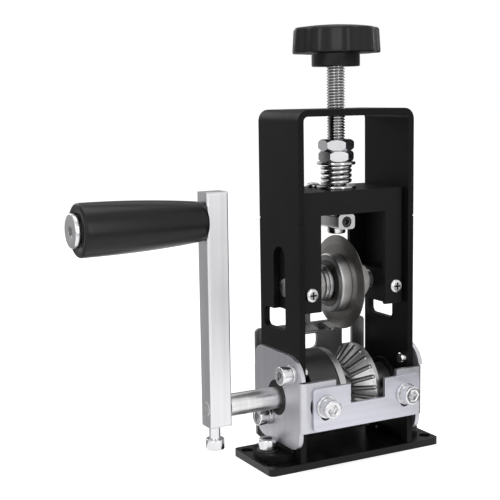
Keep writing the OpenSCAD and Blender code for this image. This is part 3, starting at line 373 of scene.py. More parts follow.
# %% Group for the distance along an axis
zone, start, end = new_group(
    "zone_along",
    [
        ("Axis", "NodeSocketVector", (0, 1, 0)),
        ("From", "NodeSocketFloat", 0.0),
        ("To", "NodeSocketFloat", 0.001),
    ],
    ["Mask"],
)
coordinates = new_node(zone, "TexCoord")
distance = new_node(zone, "VectorMath", operation="DOT_PRODUCT")
wire(zone, coordinates.outputs["Object"], distance.inputs[0])
wire(zone, start.outputs["Axis"], distance.inputs[1])
both_ways = arithmetic(zone, "ABSOLUTE", distance.outputs["Value"])
mask = rises(zone, both_ways, start.outputs["From"], start.outputs["To"])
wire(zone, mask, end.inputs["Mask"])
print("Group:", zone.name)

# %% Group for smudges
smudges, start, end = new_group(
    "hand_smudges",
    [("Scale", "NodeSocketFloat", 60.0)],
    ["Mask"],
)
coordinates = new_node(smudges, "TexCoord")
cloud = new_node(smudges, "TexNoise", {"Detail": 5, "Distortion": 0.6})
wire(smudges, coordinates.outputs["Object"], cloud.inputs["Vector"])
wire(smudges, start.outputs["Scale"], cloud.inputs["Scale"])
wire(smudges, rises(smudges, cloud.outputs[0], 0.42, 0.72), end.inputs["Mask"])
print("Group:", smudges.name)

# %% [markdown]
# A finish is a small set of choices on the Principled shader: how dark, how metallic, how rough.
# The helpers below place a group in one, let the group's value slide a colour or a roughness
# between two ends, and lay a second colour over a part of it.

# %% Helpers for finishes
COLOUR_A, COLOUR_B, COLOUR_OUT = 6, 7, 2


def place(made, group, **values):
    """A group's node in a material, with its own values."""
    node = made.node_tree.nodes.new("ShaderNodeGroup")
    node.node_tree = group
    for label, value in values.items():
        node.inputs[label].default_value = value
    return node


def slide_colour(made, mask, low, high, target):
    """Runs a colour from low to high as a mask goes from 0 to 1."""
    ends = {COLOUR_A: (*low, 1), COLOUR_B: (*high, 1)}
    mix = new_node(made.node_tree, "Mix", ends, data_type="RGBA")
    wire(made.node_tree, mask, mix.inputs[0])
    wire(made.node_tree, mix.outputs[COLOUR_OUT], target)


def slide_value(made, mask, low, high, target):
    """Runs a value from low to high as a mask goes from 0 to 1."""
    span = new_node(made.node_tree, "MapRange", {"To Min": low, "To Max": high})
    wire(made.node_tree, mask, span.inputs["Value"])
    wire(made.node_tree, span.outputs[0], target)


def cover(made, mask, colour):
    """Lays a colour over a finish where a mask is 1."""
    target = principled(made).inputs["Base Color"]
    mix = new_node(made.node_tree, "Mix", {COLOUR_B: (*colour, 1)}, data_type="RGBA")
    wire(made.node_tree, mask, mix.inputs[0])
    wire(made.node_tree, target.links[0].from_socket, mix.inputs[COLOUR_A])
    wire(made.node_tree, mix.outputs[COLOUR_OUT], target)


def relief(made, height, strength, depth_mm, shader):
    """Turns a height into a small relief on the surface."""
    sizes = {"Strength": strength, "Distance": depth_mm * MM}
    bump = new_node(made.node_tree, "Bump", sizes)
    wire(made.node_tree, height, bump.inputs["Height"])
    wire(made.node_tree, bump.outputs["Normal"], shader.inputs["Normal"])


def grey(level, warm=0.0):
    """A grey, or with warm above or below 0 one that leans to yellow or blue."""
    return (level * (1 + max(warm, 0)), level, level * (1 - warm))


# %% [markdown]
# The frame, the carriage and the base are powder coated: a satin black with a fine orange peel.
# The base is glossier and mirrors the brackets above it. The knob, the grip and the bushes are
# smooth black plastic, the sleeve on the roller has a dark satin face that is partly metallic, and
# the set screws are oiled.

# %% Black finishes
def black_finish(name, level, rough, peel, depth_mm, specular, metallic=0.0):
    """Satin black with a fine skin, cloudy in tone and in gloss."""
    made, shader = finish(name, metallic, specular)
    coat = place(made, skin, Scale=peel)
    marks = place(made, smudges, Scale=70.0)
    slide_colour(
        made, coat.outputs["Mottle"], grey(level * 0.8), grey(level * 1.25), shader.inputs["Base Color"]
    )
    slide_value(
        made, marks.outputs["Mask"], rough, rough + 0.07, shader.inputs["Roughness"]
    )
    relief(made, coat.outputs["Height"], 0.35, depth_mm, shader)
    return made


frame_black = black_finish("powder_coat", 0.0070, 0.38, 700.0, 0.02, 0.10)
base_black = black_finish("base_coat", 0.005, 0.22, 500.0, 0.012, 0.22)
carriage_black = black_finish("carriage_coat", 0.009, 0.40, 700.0, 0.02, 0.14)
plastic_black = black_finish("moulded_plastic", 0.0045, 0.28, 1100.0, 0.008, 0.28)
sleeve_black = black_finish("sleeve_plastic", 0.045, 0.36, 1100.0, 0.010, 0.60, 0.6)
nylon_black = black_finish("bush_nylon", 0.005, 0.34, 1400.0, 0.01, 0.22)
oiled_black = black_finish("black_oxide", 0.012, 0.30, 1600.0, 0.01, 0.60)
print("Black finishes: 7")

# %% [markdown]
# The bright parts are steel or plated steel. Flat ones were brushed or tumbled in one direction,
# turned ones carry rings round their axis, and both show it as a fine relief that stretches every
# reflection. Smudges lift the roughness here and there.

# %% Steel finishes
def brushed_steel(name, level, rough, stretch, depth_mm=0.004, warm=0.0, metallic=1.0):
    """Plated sheet or bar with straight brushing lines."""
    made, shader = finish(name, metallic)
    strokes = place(made, brushed, Stretch=stretch)
    marks = place(made, smudges, Scale=55.0)
    slide_colour(
        made, strokes.outputs["Tone"], grey(level * 0.88, warm), grey(level * 1.10, warm),
        shader.inputs["Base Color"],
    )
    slide_value(made, marks.outputs["Mask"], rough, rough + 0.08, shader.inputs["Roughness"])
    relief(made, strokes.outputs["Height"], 0.3, depth_mm, shader)
    return made


def turned_steel(name, level, rough, centre_mm, axis, depth_mm=0.004, warm=0.0):
    """Steel from a lathe, with rings about its axis."""
    made, shader = finish(name, 1.0)
    tool = place(made, rings, Centre=tuple(c * MM for c in centre_mm), Axis=axis)
    marks = place(made, smudges, Scale=80.0)
    slide_colour(
        made, tool.outputs["Tone"], grey(level * 0.85, warm), grey(level * 1.12, warm),
        shader.inputs["Base Color"],
    )
    slide_value(made, marks.outputs["Mask"], rough, rough + 0.07, shader.inputs["Roughness"])
    relief(made, tool.outputs["Height"], 0.3, depth_mm, shader)
    return made


X_AXIS, Y_AXIS, Z_AXIS = (1, 0, 0), (0, 1, 0), (0, 0, 1)
DRIVE_Z, AXLE_Z, GRIP_Z = 36, 96, 135.2
DRIVE, AXLE, SCREW = (0, 0, DRIVE_Z), (0, 0, AXLE_Z), (0, 0, 0)

arm_steel = brushed_steel("arm_steel", 0.68, 0.30, (1500, 1500, 50), 0.003, -0.03)
bracket_steel = brushed_steel("bracket_steel", 0.54, 0.40, (1400, 1400, 60), 0.002, -0.06)
guide_steel = brushed_steel("guide_steel", 0.60, 0.40, (60, 1500, 1500), 0.002, -0.10)
rear_steel = brushed_steel("rear_guide_steel", 0.22, 0.42, (60, 1500, 1500), 0.002)
zinc_steel = brushed_steel("zinc_plate", 0.66, 0.20, (500, 500, 500), 0.001, -0.02)
zinc_along_x = brushed_steel("zinc_along_x", 0.68, 0.17, (15, 1300, 1300), 0.012, -0.02)
zinc_along_y = brushed_steel("zinc_along_y", 0.68, 0.17, (1300, 15, 1300), 0.012, -0.02)
zinc_along_z = brushed_steel("zinc_along_z", 0.68, 0.17, (1300, 1300, 15), 0.012, -0.02)
nut_steel = brushed_steel("nut_steel", 0.70, 0.24, (400, 400, 900), 0.002, -0.03)
block_steel = brushed_steel("block_steel", 0.62, 0.26, (900, 60, 900))
shaft_steel = turned_steel("shaft_steel", 0.70, 0.28, DRIVE, X_AXIS, 0.0001)
washer_steel = turned_steel("washer_steel", 0.60, 0.22, SCREW, Z_AXIS, 0.003)
foot_steel = turned_steel("foot_washer_steel", 0.10, 0.40, SCREW, Z_AXIS, 0.003)
thread_steel = turned_steel("thread_steel", 0.66, 0.20, SCREW, Z_AXIS, 0.0005)
spring_steel = brushed_steel("spring_steel", 0.62, 0.24, (500, 500, 500), 0.001)
axle_steel = turned_steel("axle_steel", 0.42, 0.30, AXLE, X_AXIS, 0.002)
axle_nut_steel = brushed_steel("axle_nut_steel", 0.55, 0.34, (900, 400, 400), 0.002, 0.02, 0.25)
ring_steel = turned_steel("ring_steel", 0.42, 0.36, AXLE, X_AXIS, 0.003)
bearing_steel = turned_steel("bearing_steel", 0.17, 0.38, AXLE, X_AXIS, 0.003, 0.04)
blade_steel = turned_steel("blade_steel", 0.27, 0.36, AXLE, X_AXIS, 0.006, 0.04)
print("Steel finishes: 20")

# %% [markdown]
# Round the screws, the flanges behind the guide plates are painted dark where a slot lets them show:
# this is painted shade inside the slots.

# %% Bracket flanges
GUIDE_X = 25.5
FLANGE_FROM, FLANGE_TO, SLOT_SHADE_R = 23.5 * MM, 26.2 * MM, 8.5 * MM


def both_sides(x, y, z):
    """Two places that mirror each other across the middle."""
    return [(-x, y, z), (x, y, z)]


def nearest_axis(made, centres, axis):
    """The distance to the nearer of two parallel axes."""
    first, second = (
        place(made, rings, Centre=centre, Axis=axis).outputs["Radius"] for centre in centres
    )
    return arithmetic(made.node_tree, "MINIMUM", first, second)


def within(made, distance, limit, other):
    """A mask that is 1 where a distance is below a limit, times another mask."""
    inside = arithmetic(made.node_tree, "LESS_THAN", distance, limit)
    return arithmetic(made.node_tree, "MULTIPLY", inside, other)


flange = place(bracket_steel, zone, Axis=Y_AXIS, From=FLANGE_FROM, To=FLANGE_TO)
to_screw = nearest_axis(bracket_steel, both_sides(GUIDE_X * MM, 0, DRIVE_Z * MM), Y_AXIS)
# painted shade on the flange round each guide screw, seen through the slot
slot_shade = within(bracket_steel, to_screw, SLOT_SHADE_R, flange.outputs["Mask"])
cover(bracket_steel, slot_shade, grey(0.02))
print("Flange starts at", round(FLANGE_FROM / MM, 1), "mm")

# %% [markdown]
# The roller's grooves are as the cutter left them. Their edges are painted dark and their floors a
# duller grey than the flats between them, which the cable keeps bright: this is painted shade in the
# grooves. How far a point lies below the flank of the V tells them apart: it is the flank's radius
# there less the point's own radius. The hub beside the V is darker too.

# %% Toothed roller finish
VALLEY_R, RIM_R = 14.0 * MM, 23.8 * MM
GROOVE_X, GROOVE_HALF = 1.2 * MM, 9.5 * MM
HUB_X, HUB_FACE_R = 12.8 * MM, 11.7 * MM

roller_steel, shader = finish("roller_steel", 1.0)
tool = place(roller_steel, rings, Centre=tuple(c * MM for c in DRIVE), Axis=X_AXIS)
tree = roller_steel.node_tree
own_x, own_r = tool.outputs["Along"], tool.outputs["Radius"]
off_centre = arithmetic(tree, "ABSOLUTE", arithmetic(tree, "SUBTRACT", own_x, GROOVE_X))
rise = arithmetic(tree, "MULTIPLY", off_centre, (RIM_R - VALLEY_R) / GROOVE_HALF)
flank_r = arithmetic(tree, "MINIMUM", arithmetic(tree, "ADD", rise, VALLEY_R), RIM_R)
depth = arithmetic(tree, "SUBTRACT", flank_r, own_r)
near = arithmetic(tree, "LESS_THAN", off_centre, GROOVE_HALF)


def below_flank(start_mm, end_mm):
    """A mask that rises from 0 to 1 between two depths under the flank."""
    return arithmetic(tree, "MULTIPLY", rises(tree, depth, start_mm * MM, end_mm * MM), near)


# painted shade: the groove edges run dark, and the same mask makes them a little rougher
shaded_groove_mask = below_flank(0.04, 0.12)
slide_colour(roller_steel, shaded_groove_mask, grey(0.45), grey(0.03), shader.inputs["Base Color"])
# painted shade: the deeper groove floors are a duller grey
cover(roller_steel, below_flank(0.2, 0.4), grey(0.18))
hub_side = arithmetic(tree, "GREATER_THAN", own_x, HUB_X)
cover(roller_steel, within(roller_steel, own_r, HUB_FACE_R, hub_side), grey(0.18))
slide_value(roller_steel, shaded_groove_mask, 0.36, 0.42, shader.inputs["Roughness"])
relief(roller_steel, tool.outputs["Height"], 0.3, 0.003, shader)
print("Roller finish: groove half width", GROOVE_HALF / MM, "mm")

# %% [markdown]
# Sheet metal, blocks and rings arrive as exact solids with razor edges, and no real edge is so:
# shears, punches and plating leave a small round that catches the light. So each of these nodes
# is copied, its doubled points are merged, flat areas are joined into single faces, and a Bevel
# modifier rounds what is left. The copy stands for the node, and the node itself isn't touched.

# %% Helper that finishes a mesh as a piece
BODY_OF = {
    node: body
    for body, members in frame["record"]["behaviour"]["bodies"].items()
    for node in members
}


def to_piece(bm, name, material, body):
    """Makes an object from a bmesh, gives it a finish and lets it ride on a body."""
    bmesh.ops.recalc_face_normals(bm, faces=bm.faces)
    data = mesh_from(bm, name)
    for face in data.polygons:
        face.use_smooth = True
    data.materials.append(material)
    made = add_object(name, data)
    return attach(made, body)


def soften(made, width_mm, angle=28.0, segments=2):
    """Rounds the sharp edges of a piece with a Bevel modifier."""
    bevel = made.modifiers.new("soft_edges", "BEVEL")
    bevel.width = width_mm * MM
    bevel.segments = segments
    bevel.limit_method = "ANGLE"
    bevel.angle_limit = radians(angle)
    bevel.use_clamp_overlap = True
    even = made.modifiers.new("even_shading", "WEIGHTED_NORMAL")
    even.mode = "FACE_AREA"
    even.weight = 100
    even.keep_sharp = True
    return made


def merged(node):
    """A bmesh copy of a CAD node with its points merged and its flat areas joined."""
    bm = bmesh.new()
    bm.from_mesh(frame["nodes"][node].data)
    bmesh.ops.remove_doubles(bm, verts=bm.verts, dist=0.002 * MM)
    bmesh.ops.dissolve_limit(
        bm, angle_limit=radians(0.6), verts=bm.verts, edges=bm.edges, use_dissolve_boundaries=False
    )
    return bm


def dress(node, material, width_mm):
    """Stands a softened copy in for a CAD node."""
    made = to_piece(merged(node), node + "_dressed", material, BODY_OF[node])
    soften(made, width_mm)
    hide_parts(node)
    return made


# %% [markdown]
# The roots of the lead screw's thread are painted darker as painted shade, so the steel is darker
# towards the axis.

# %% Painted shade in thread roots
ROOT_FROM, ROOT_TO = 4.7 * MM, 4.2 * MM
about_screw = place(thread_steel, rings, Centre=SCREW, Axis=Z_AXIS)
root = rises(thread_steel.node_tree, about_screw.outputs["Radius"], ROOT_FROM, ROOT_TO)
# painted shade in the thread roots
cover(thread_steel, root, grey(0.26))
print("Thread root below", round(ROOT_FROM / MM, 1), "mm")

# %% [markdown]
# The two screws in the carriage's front legs are chrome, and shade and grease gather in their
# cross recesses. The recess is what lies near the screw's axis and a little behind its face.

# %% Cross recess finish
leg_low, leg_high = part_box("leg_screws")
CROSS_HEAD_R, RECESS_R = 3.9 * MM, 2.1 * MM
RECESS_FROM, RECESS_TO = 0.35 * MM, 0.7 * MM
cross_steel = brushed_steel("cross_screw_steel", 0.66, 0.22, (500, 500, 500), 0.001, -0.02)
leg_z = (leg_low.z + leg_high.z) / 2
leg_axes = [(leg_low.x + CROSS_HEAD_R, 0, leg_z), (leg_high.x - CROSS_HEAD_R, 0, leg_z)]
head_y = -leg_low.y
behind = place(cross_steel, zone, Axis=Y_AXIS, From=head_y - RECESS_FROM, To=head_y - RECESS_TO)
to_cross = nearest_axis(cross_steel, leg_axes, Y_AXIS)
cover(cross_steel, within(cross_steel, to_cross, RECESS_R, behind.outputs["Mask"]), grey(0.03))
print("Screw axes at X", round(leg_axes[0][0] / MM, 1), round(leg_axes[1][0] / MM, 1))

# %% Painted sheet metal
painted = [
    dress("base_plate", base_black, 0.22),
    dress("frame_bracket", frame_black, 0.25),
    dress("carriage_shell", carriage_black, 0.25),
]
print("Painted pieces:", [p.name for p in painted])

# %% Plated sheet metal and bar
plated = [
    dress("left_bracket", bracket_steel, 0.25),
    dress("right_bracket", bracket_steel, 0.25),
    dress("guide_plate", guide_steel, 0.30),
    dress("rear_guide", rear_steel, 0.25),
    dress("crank_arm", arm_steel, 0.55),
    dress("stop_block", block_steel, 0.35),
]
print("Plated pieces:", [p.name for p in plated])

# %% Blocks, small screws and washers
small = [
    dress("axle_blocks", carriage_black, 0.5),
    dress("leg_screws", cross_steel, 0.12),
    dress("roof_screws", zinc_steel, 0.12),
    dress("foot_washers", foot_steel, 0.12),
    dress("bracket_washers", zinc_steel, 0.35),
    dress("guide_washers", zinc_steel, 0.30),
    dress("rear_washers", zinc_steel, 0.30),
    dress("lower_washer", washer_steel, 0.30),
    dress("upper_washer", washer_steel, 0.30),
    dress("stop_sleeve", thread_steel, 0.30),
]
print("Small pieces:", len(small))

# %% Parts on the two axles
turned = [
    dress("feed_roller", roller_steel, 0.12),
    dress("left_bush", nylon_black, 0.30),
    dress("right_bush", nylon_black, 0.30),
    dress("axle_washers", axle_steel, 0.30),
    dress("axle_spacers", bearing_steel, 0.20),
    dress("bearing_race", axle_steel, 0.15),
    dress("blade_bearing", bearing_steel, 0.30),
    dress("blade_ring", ring_steel, 0.35),
]
print("Turned pieces:", len(turned))

# %% [markdown]
# Anything round is made as on a lathe: its half outline is drawn once, beside the axis, and spun
# a full turn. The helper works about Z, from the foot up, and a matrix then lays the piece on its
# own axis. Points on the axis itself close the ends.

# %% Lathe helper
def lathe(outline_mm, steps=64):
    """Spins a half outline of (radius, height) points about Z into a closed shape."""
    bm = bmesh.new()
    points = [bm.verts.new((r * MM, 0, z * MM)) for r, z in outline_mm]
    edges = [bm.edges.new(pair) for pair in zip(points, points[1:])]
    bmesh.ops.spin(
        bm, geom=points + edges, cent=(0, 0, 0), axis=(0, 0, 1), angle=2 * pi, steps=steps,
        use_merge=True, use_duplicate=False,
    )
    bmesh.ops.remove_doubles(bm, verts=bm.verts, dist=0.001 * MM)
    return bm


def rounded(r, low, high, edge, count=4):
    """The outline of a round head from its low rim to its high rim, both rims rounded."""
    quarter = [pi / 2 * i / count for i in range(count + 1)]
    return (
        [(r - edge + edge * sin(a), low + edge - edge * cos(a)) for a in quarter]
        + [(r - edge + edge * cos(a), high - edge + edge * sin(a)) for a in quarter]
    )


def lay(bm, place_mm, axis):
    """Turns a shape from Z onto an axis and moves its foot to a place."""
    turn = Vector((0, 0, 1)).rotation_difference(Vector(axis)).to_matrix().to_4x4()
    shift = Matrix.Translation(Vector(place_mm) * MM)
    bmesh.ops.transform(bm, matrix=shift @ turn, verts=bm.verts)
    return bm


def join(parts):
    """One bmesh that holds several."""
    whole = bmesh.new()
    for part in parts:
        data = mesh_from(part, "joined")
        whole.from_mesh(data)
        bpy.data.meshes.remove(data)
    return whole


def cut_off(bm, point, normal):
    """Cuts away what lies beyond a plane."""
    bmesh.ops.bisect_plane(
        bm, geom=bm.verts[:] + bm.edges[:] + bm.faces[:], dist=0.0005 * MM,
        plane_co=point, plane_no=normal, clear_outer=True,
    )


def close_holes(bm):
    """Fills every open rim of a shape."""
    bmesh.ops.holes_fill(bm, edges=[e for e in bm.edges if e.is_boundary], sides=0)


def mark_sharp(made, angle=40.0):
    """Keeps edges above an angle crisp."""
    made.data.set_sharp_from_angle(angle=radians(angle))
    return made


def modelled(bm, node, material, angle=40.0):
    """Stands a newly modelled shape in for a CAD node, with edges above an angle kept crisp."""
    made = to_piece(bm, node + "_dressed", material, BODY_OF[node])
    mark_sharp(made, angle)
    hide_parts(node)
    return made


print("Lathe ready")

# %% [markdown]
# A socket head screw is a turned cylinder with a hexagon pressed into its face. The socket is spun
# with the head, and its ring of points is then drawn in onto the six flats, because a hexagon is
# just a circle whose radius dips between its corners.

# %% Socket head screws
def hexagon(bm, corner_mm, above_mm, below_mm):
    """Draws the points inside a radius and between two heights onto a hexagon."""
    for v in bm.verts:
        r = v.co.xy.length
        if above_mm * MM <= v.co.z <= below_mm * MM and 0.5 * MM < r <= corner_mm * 1.001 * MM:
            a = atan2(v.co.y, v.co.x) % (pi / 3) - pi / 6
            share = cos(pi / 6) / cos(a)
            v.co.xy = v.co.xy * share


def socket_screw(shank_d, shank, head_d, head_h, key_share=0.48, key_deep=0.5, edge=0.7):
    """A socket head screw about Z, its head standing on the origin."""
    key = shank_d * key_share
    floor_z = head_h * (1 - key_deep)
    head = rounded(head_d / 2, 0, head_h, edge)
    outline = (
        [(0, -shank), (shank_d / 2 - 0.5, -shank), (shank_d / 2, 0.5 - shank), (shank_d / 2, 0)]
        + head
        + [(key + 0.25, head_h), (key, head_h - 0.25), (key, floor_z), (key * 0.55, floor_z - 0.2)]
        + [(0, floor_z - 0.5)]
    )
    bm = lathe(outline, 48)
    hexagon(bm, key, floor_z - 0.1, head_h - 0.2)
    return bm


def round_screw(shank_d, shank, head_d, head_h):
    """A round head screw about Z, its head standing on the origin, with a hollow in its tip."""
    key = shank_d * 0.29
    floor_z = head_h * 0.5
    arc = [pi / 2 * i / 10 for i in range(10)]
    dome = [(head_d / 2 * cos(a), head_h * sin(a)) for a in arc if head_d / 2 * cos(a) > key + 0.3]
    lip_z = head_h * (1 - (key / (head_d / 2)) ** 2) ** 0.5
    outline = (
        [(0, 0.7 - shank), (shank_d * 0.25, -shank), (shank_d / 2 - 0.5, -shank)]
        + [(shank_d / 2, 0.5 - shank), (shank_d / 2, 0)]
        + dome
        + [(key, lip_z), (key, floor_z), (key * 0.55, floor_z - 0.2), (0, floor_z - 0.5)]
    )
    bm = lathe(outline, 48)
    hexagon(bm, key, floor_z - 0.1, head_h)
    return bm


BOLT, HEAD, HEAD_H, ROUND_HEAD_H = 6.0, 10.0, 6.0, 3.2


def stand(places, axis, shank, head=HEAD_H):
    """Screws of one length on their places, with socket heads or, if the head is low, round ones."""
    kind = socket_screw if head == HEAD_H else round_screw
    return [lay(kind(BOLT, shank, HEAD, head), place_mm, axis) for place_mm in places]


def screws(node, parts, material):
    """One piece from the screws of a node."""
    return modelled(join(parts), node, material)


LEFT, RIGHT = (-1, 0, 0), (1, 0, 0)
FRONT, BACK = (0, -1, 0), (0, 1, 0)
UP, DOWN = (0, 0, 1), (0, 0, -1)
FOOT_X, FOOT_Z = 44.9, 8
GUIDE_SEAT, REAR_SEAT = -30.7, 30.6
LEFT_SEAT, RIGHT_SEAT = -41.1, 39
UPPER, LOWER = (-17.2, 52.5), (8.4, 24.1)

screws("foot_screws", stand(both_sides(FOOT_X, 0, FOOT_Z), UP, 7.2), zinc_along_z)
guide_places = both_sides(GUIDE_X, GUIDE_SEAT, DRIVE_Z)
screws("guide_screws", stand(guide_places, FRONT, 6.2), zinc_along_y)
rear_places = both_sides(GUIDE_X, REAR_SEAT, DRIVE_Z)
screws("rear_screws", stand(rear_places, BACK, 6.1), zinc_along_y)
screws(
    "bracket_screws",
    stand([(LEFT_SEAT, *UPPER)], LEFT, 10.3)
    + stand([(LEFT_SEAT, *LOWER)], LEFT, 8.1)
    + stand([(RIGHT_SEAT, *UPPER)], RIGHT, 8.9, ROUND_HEAD_H)
    + stand([(RIGHT_SEAT, *LOWER)], RIGHT, 6.0, ROUND_HEAD_H),
    zinc_along_x,
)
screws("clamp_screw", stand([(-76.8, 0, 19.4)], DOWN, 12.5), zinc_along_z)
print("Screws: 11")

# %% Set screws
def set_screw(length, d):
    """A headless screw about Z with its key socket facing up at the origin."""
    key = d * 0.29
    outline = [
        (0, -length), (d / 2 - 0.3, -length), (d / 2, 0.3 - length), (d / 2, -0.35),
        (d / 2 - 0.35, 0), (key + 0.15, 0), (key, -0.15), (key, -length / 2), (0, -length / 2 - 0.5),
    ]
    bm = lathe(outline, 36)
    hexagon(bm, key, -length / 2 - 0.1, -0.1)
    return bm


stop_screw = lay(set_screw(5.1, 6), (0, -10.15, 130.3), FRONT)
modelled(stop_screw, "stop_set_screw", oiled_black)
hub_screw = lay(set_screw(3.8, 5), (21.1, 9.9, DRIVE_Z), BACK)
modelled(hub_screw, "hub_set_screw", oiled_black)
print("Set screws: 2")

# %% [markdown]
# A nut starts as a turned disc with both rims chamfered, and six flat cuts make the hexagon. The
# chamfers then leave the curved tops that every real nut has. The two jam nuts are locked against
# each other, so their flats don't quite line up.

# %% Nuts
def hex_nut(flats, height, bore, turned):
    """A chamfered hexagon nut about Z with its foot on the origin."""
    corner = flats / 2 / cos(pi / 6)
    bm = lathe([
        (bore, 0), (flats / 2 - 0.4, 0), (flats / 2 + 0.45, 0.5), (corner, 1.5),
        (corner, height - 1.5), (flats / 2 + 0.45, height - 0.5), (flats / 2 - 0.4, height),
        (bore, height), (bore, 0),
    ], 72)
    for side in range(6):
        angle = radians(turned + side * 60)
        normal = Vector((cos(angle), sin(angle), 0))
        cut_off(bm, normal * flats / 2 * MM, normal)
        close_holes(bm)
    return bm


def nut_pair(node, height, feet, axis, turns, material):
    """The two nuts of a node, each with its foot on its place and its own turn."""
    parts = [
        lay(hex_nut(NUT_FLATS, height, NUT_BORE, turned), foot, axis)
        for foot, turned in zip(feet, turns)
    ]
    soften(modelled(join(parts), node, material, 24), 0.2, 24)


NUT_FLATS, NUT_BORE, NUT_GAP, AXLE_NUT_H = 17.0, 4.95, 0.1, 8.0
nut_low, nut_high = (p.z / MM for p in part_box("jam_nuts"))
nut_h = (nut_high - nut_low - NUT_GAP) / 2
feet = [(0, 0, nut_low), (0, 0, nut_high - nut_h)]
nut_pair("jam_nuts", nut_h, feet, UP, (8.7, -0.9), nut_steel)
axle_nut_low, axle_nut_high = (p.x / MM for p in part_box("axle_nuts"))
feet = [(axle_nut_low, 0, AXLE_Z), (axle_nut_high - AXLE_NUT_H, 0, AXLE_Z)]
nut_pair("axle_nuts", AXLE_NUT_H, feet, RIGHT, (0, 0), axle_nut_steel)
print("Jam nuts: height", round(nut_h, 2), "mm each, axle nuts", AXLE_NUT_H, "mm")

# %% [markdown]
# A screw thread is one tooth outline that climbs by its pitch in every turn. Spinning the outline
# with a small rise at each step winds it up the rod, the turns are welded together, and two flat
# cuts trim the ends, as a saw would.

# %% Threaded rods
def threaded_rod(r, pitch, low, high, steps=28):
    """A threaded rod about Z from low to high, in millimetres."""
    depth = pitch * 0.58
    outline = [
        (r - depth, 0), (r - depth, pitch * 0.12), (r, pitch * 0.46), (r, pitch * 0.60),
        (r - depth, pitch),
    ]
    first = floor(low / pitch) * pitch - pitch
    turns = ceil((high - first) / pitch) + 1
    bm = bmesh.new()
    points = [bm.verts.new((x * MM, 0, (first + z) * MM)) for x, z in outline]
    edges = [bm.edges.new(pair) for pair in zip(points, points[1:])]
    bmesh.ops.spin(
        bm, geom=points + edges, cent=(0, 0, 0), axis=(0, 0, 1), angle=2 * pi * turns,
        dvec=(0, 0, pitch / steps * MM), steps=steps * turns, use_merge=False, use_duplicate=False,
    )
    bmesh.ops.remove_doubles(bm, verts=bm.verts, dist=0.004 * MM)
    for level, normal in ((low, DOWN), (high, UP)):
        cut_off(bm, (0, 0, level * MM), normal)
        rim = [e for e in bm.edges if e.is_boundary and abs(e.verts[0].co.z - level * MM) < 0.001 * MM]
        bmesh.ops.edgeloop_fill(bm, edges=rim)
    return bm


def open_edges(made):
    """How many edges of a piece aren't shared by two faces."""
    bm = bmesh.new()
    bm.from_mesh(made.data)
    count = sum(1 for e in bm.edges if not e.is_manifold)
    bm.free()
    return count


PITCH_10, SCREW_R = 1.5, 5.0
screw_low, screw_high = (p.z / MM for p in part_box("lead_screw"))
THREAD_FROM = 127.0
plain_end = lathe([
    (0, screw_low), (SCREW_R - 0.4, screw_low), (SCREW_R, screw_low + 0.4), (SCREW_R, THREAD_FROM),
    (0, THREAD_FROM),
])
lead_screw = modelled(
    join([plain_end, threaded_rod(SCREW_R, PITCH_10, THREAD_FROM, screw_high)]),
    "lead_screw", thread_steel, 50,
)
axle_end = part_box("blade_axle")[1].x / MM
axle = modelled(
    lay(threaded_rod(SCREW_R, PITCH_10, -axle_end, axle_end), AXLE, RIGHT),
    "blade_axle", axle_steel, 50,
)
print("Lead screw:", len(lead_screw.data.polygons), "faces, open edges", open_edges(lead_screw))
print("Blade axle:", len(axle.data.polygons), "faces, open edges", open_edges(axle))

# %% [markdown]
# The spring is wound from round wire, with its first and last curls lying flat and ground level so
# that they sit square on the washers. A ring of wire is spun about the screw in three runs, flat,
# rising, then flat again, and the ends are cut where they would be ground.

# %% Coil spring
WIRE, COIL_D = 2.2, 17.1
FLAT_TURNS, RISING_TURNS, STEPS = 0.75, 2.5, 36
spring_low, spring_high = (p.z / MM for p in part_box("spring"))
grind = WIRE * 0.25

bm = bmesh.new()
wire_ring = bmesh.ops.create_circle(bm, cap_ends=False, radius=WIRE / 2 * MM, segments=16)["verts"]
stand_up = Matrix.Translation(Vector(((COIL_D - WIRE) / 2, 0, spring_low + grind)) * MM)
bmesh.ops.transform(bm, matrix=stand_up @ Matrix.Rotation(pi / 2, 4, "X"), verts=wire_ring)
flat_rise = FLAT_TURNS * WIRE * 1.02
rise = spring_high - spring_low - grind * 2 - flat_rise * 2
last = list({e for v in wire_ring for e in v.link_edges}) + wire_ring
runs = ((FLAT_TURNS, flat_rise), (RISING_TURNS, rise), (FLAT_TURNS, flat_rise))
for turns, climb in runs:
    count = round(STEPS * turns)
    swept = bmesh.ops.spin(
        bm, geom=last, cent=(0, 0, 0), axis=(0, 0, 1), angle=2 * pi * turns,
        dvec=(0, 0, climb / count * MM), steps=count, use_merge=False, use_duplicate=False,
    )
    last = swept["geom_last"]
close_holes(bm)
for level, normal in ((spring_low, DOWN), (spring_high, UP)):
    cut_off(bm, (0, 0, level * MM), normal)
    close_holes(bm)
spring = to_piece(bm, "spring_wound", spring_steel, "lift")
mark_sharp(spring, 50)
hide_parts("spring")
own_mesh(spring)
print("Spring:", len(spring.data.polygons), "faces, open edges", open_edges(spring))

# %% [markdown]
# The crank shaft is a ground bar with a turned-down end that the arm clamps. It only needs crisp
# chamfers, so its outline has few points.

# %% Crank shaft
shaft_low, shaft_high = (p.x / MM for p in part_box("drive_shaft"))
SHAFT_R, SHAFT_END_R, SHOULDER = 6.0, 4.0, 12.55
shaft_len = shaft_high - shaft_low
outline = [
    (0, 0), (SHAFT_END_R - 0.5, 0), (SHAFT_END_R, 0.5), (SHAFT_END_R, SHOULDER),
    (SHAFT_R - 0.4, SHOULDER), (SHAFT_R, SHOULDER + 0.4), (SHAFT_R, shaft_len - 0.5),
    (SHAFT_R - 0.5, shaft_len), (1.2, shaft_len), (0, shaft_len - 0.7),
]
shaft = lay(lathe(outline, 72), (shaft_low, 0, DRIVE_Z), RIGHT)
modelled(shaft, "drive_shaft", shaft_steel, 35)
print("Shaft length:", round(shaft_len, 1), "mm")

# %% [markdown]
# The sleeve on the roller is a plain dark tube with rounded rims.

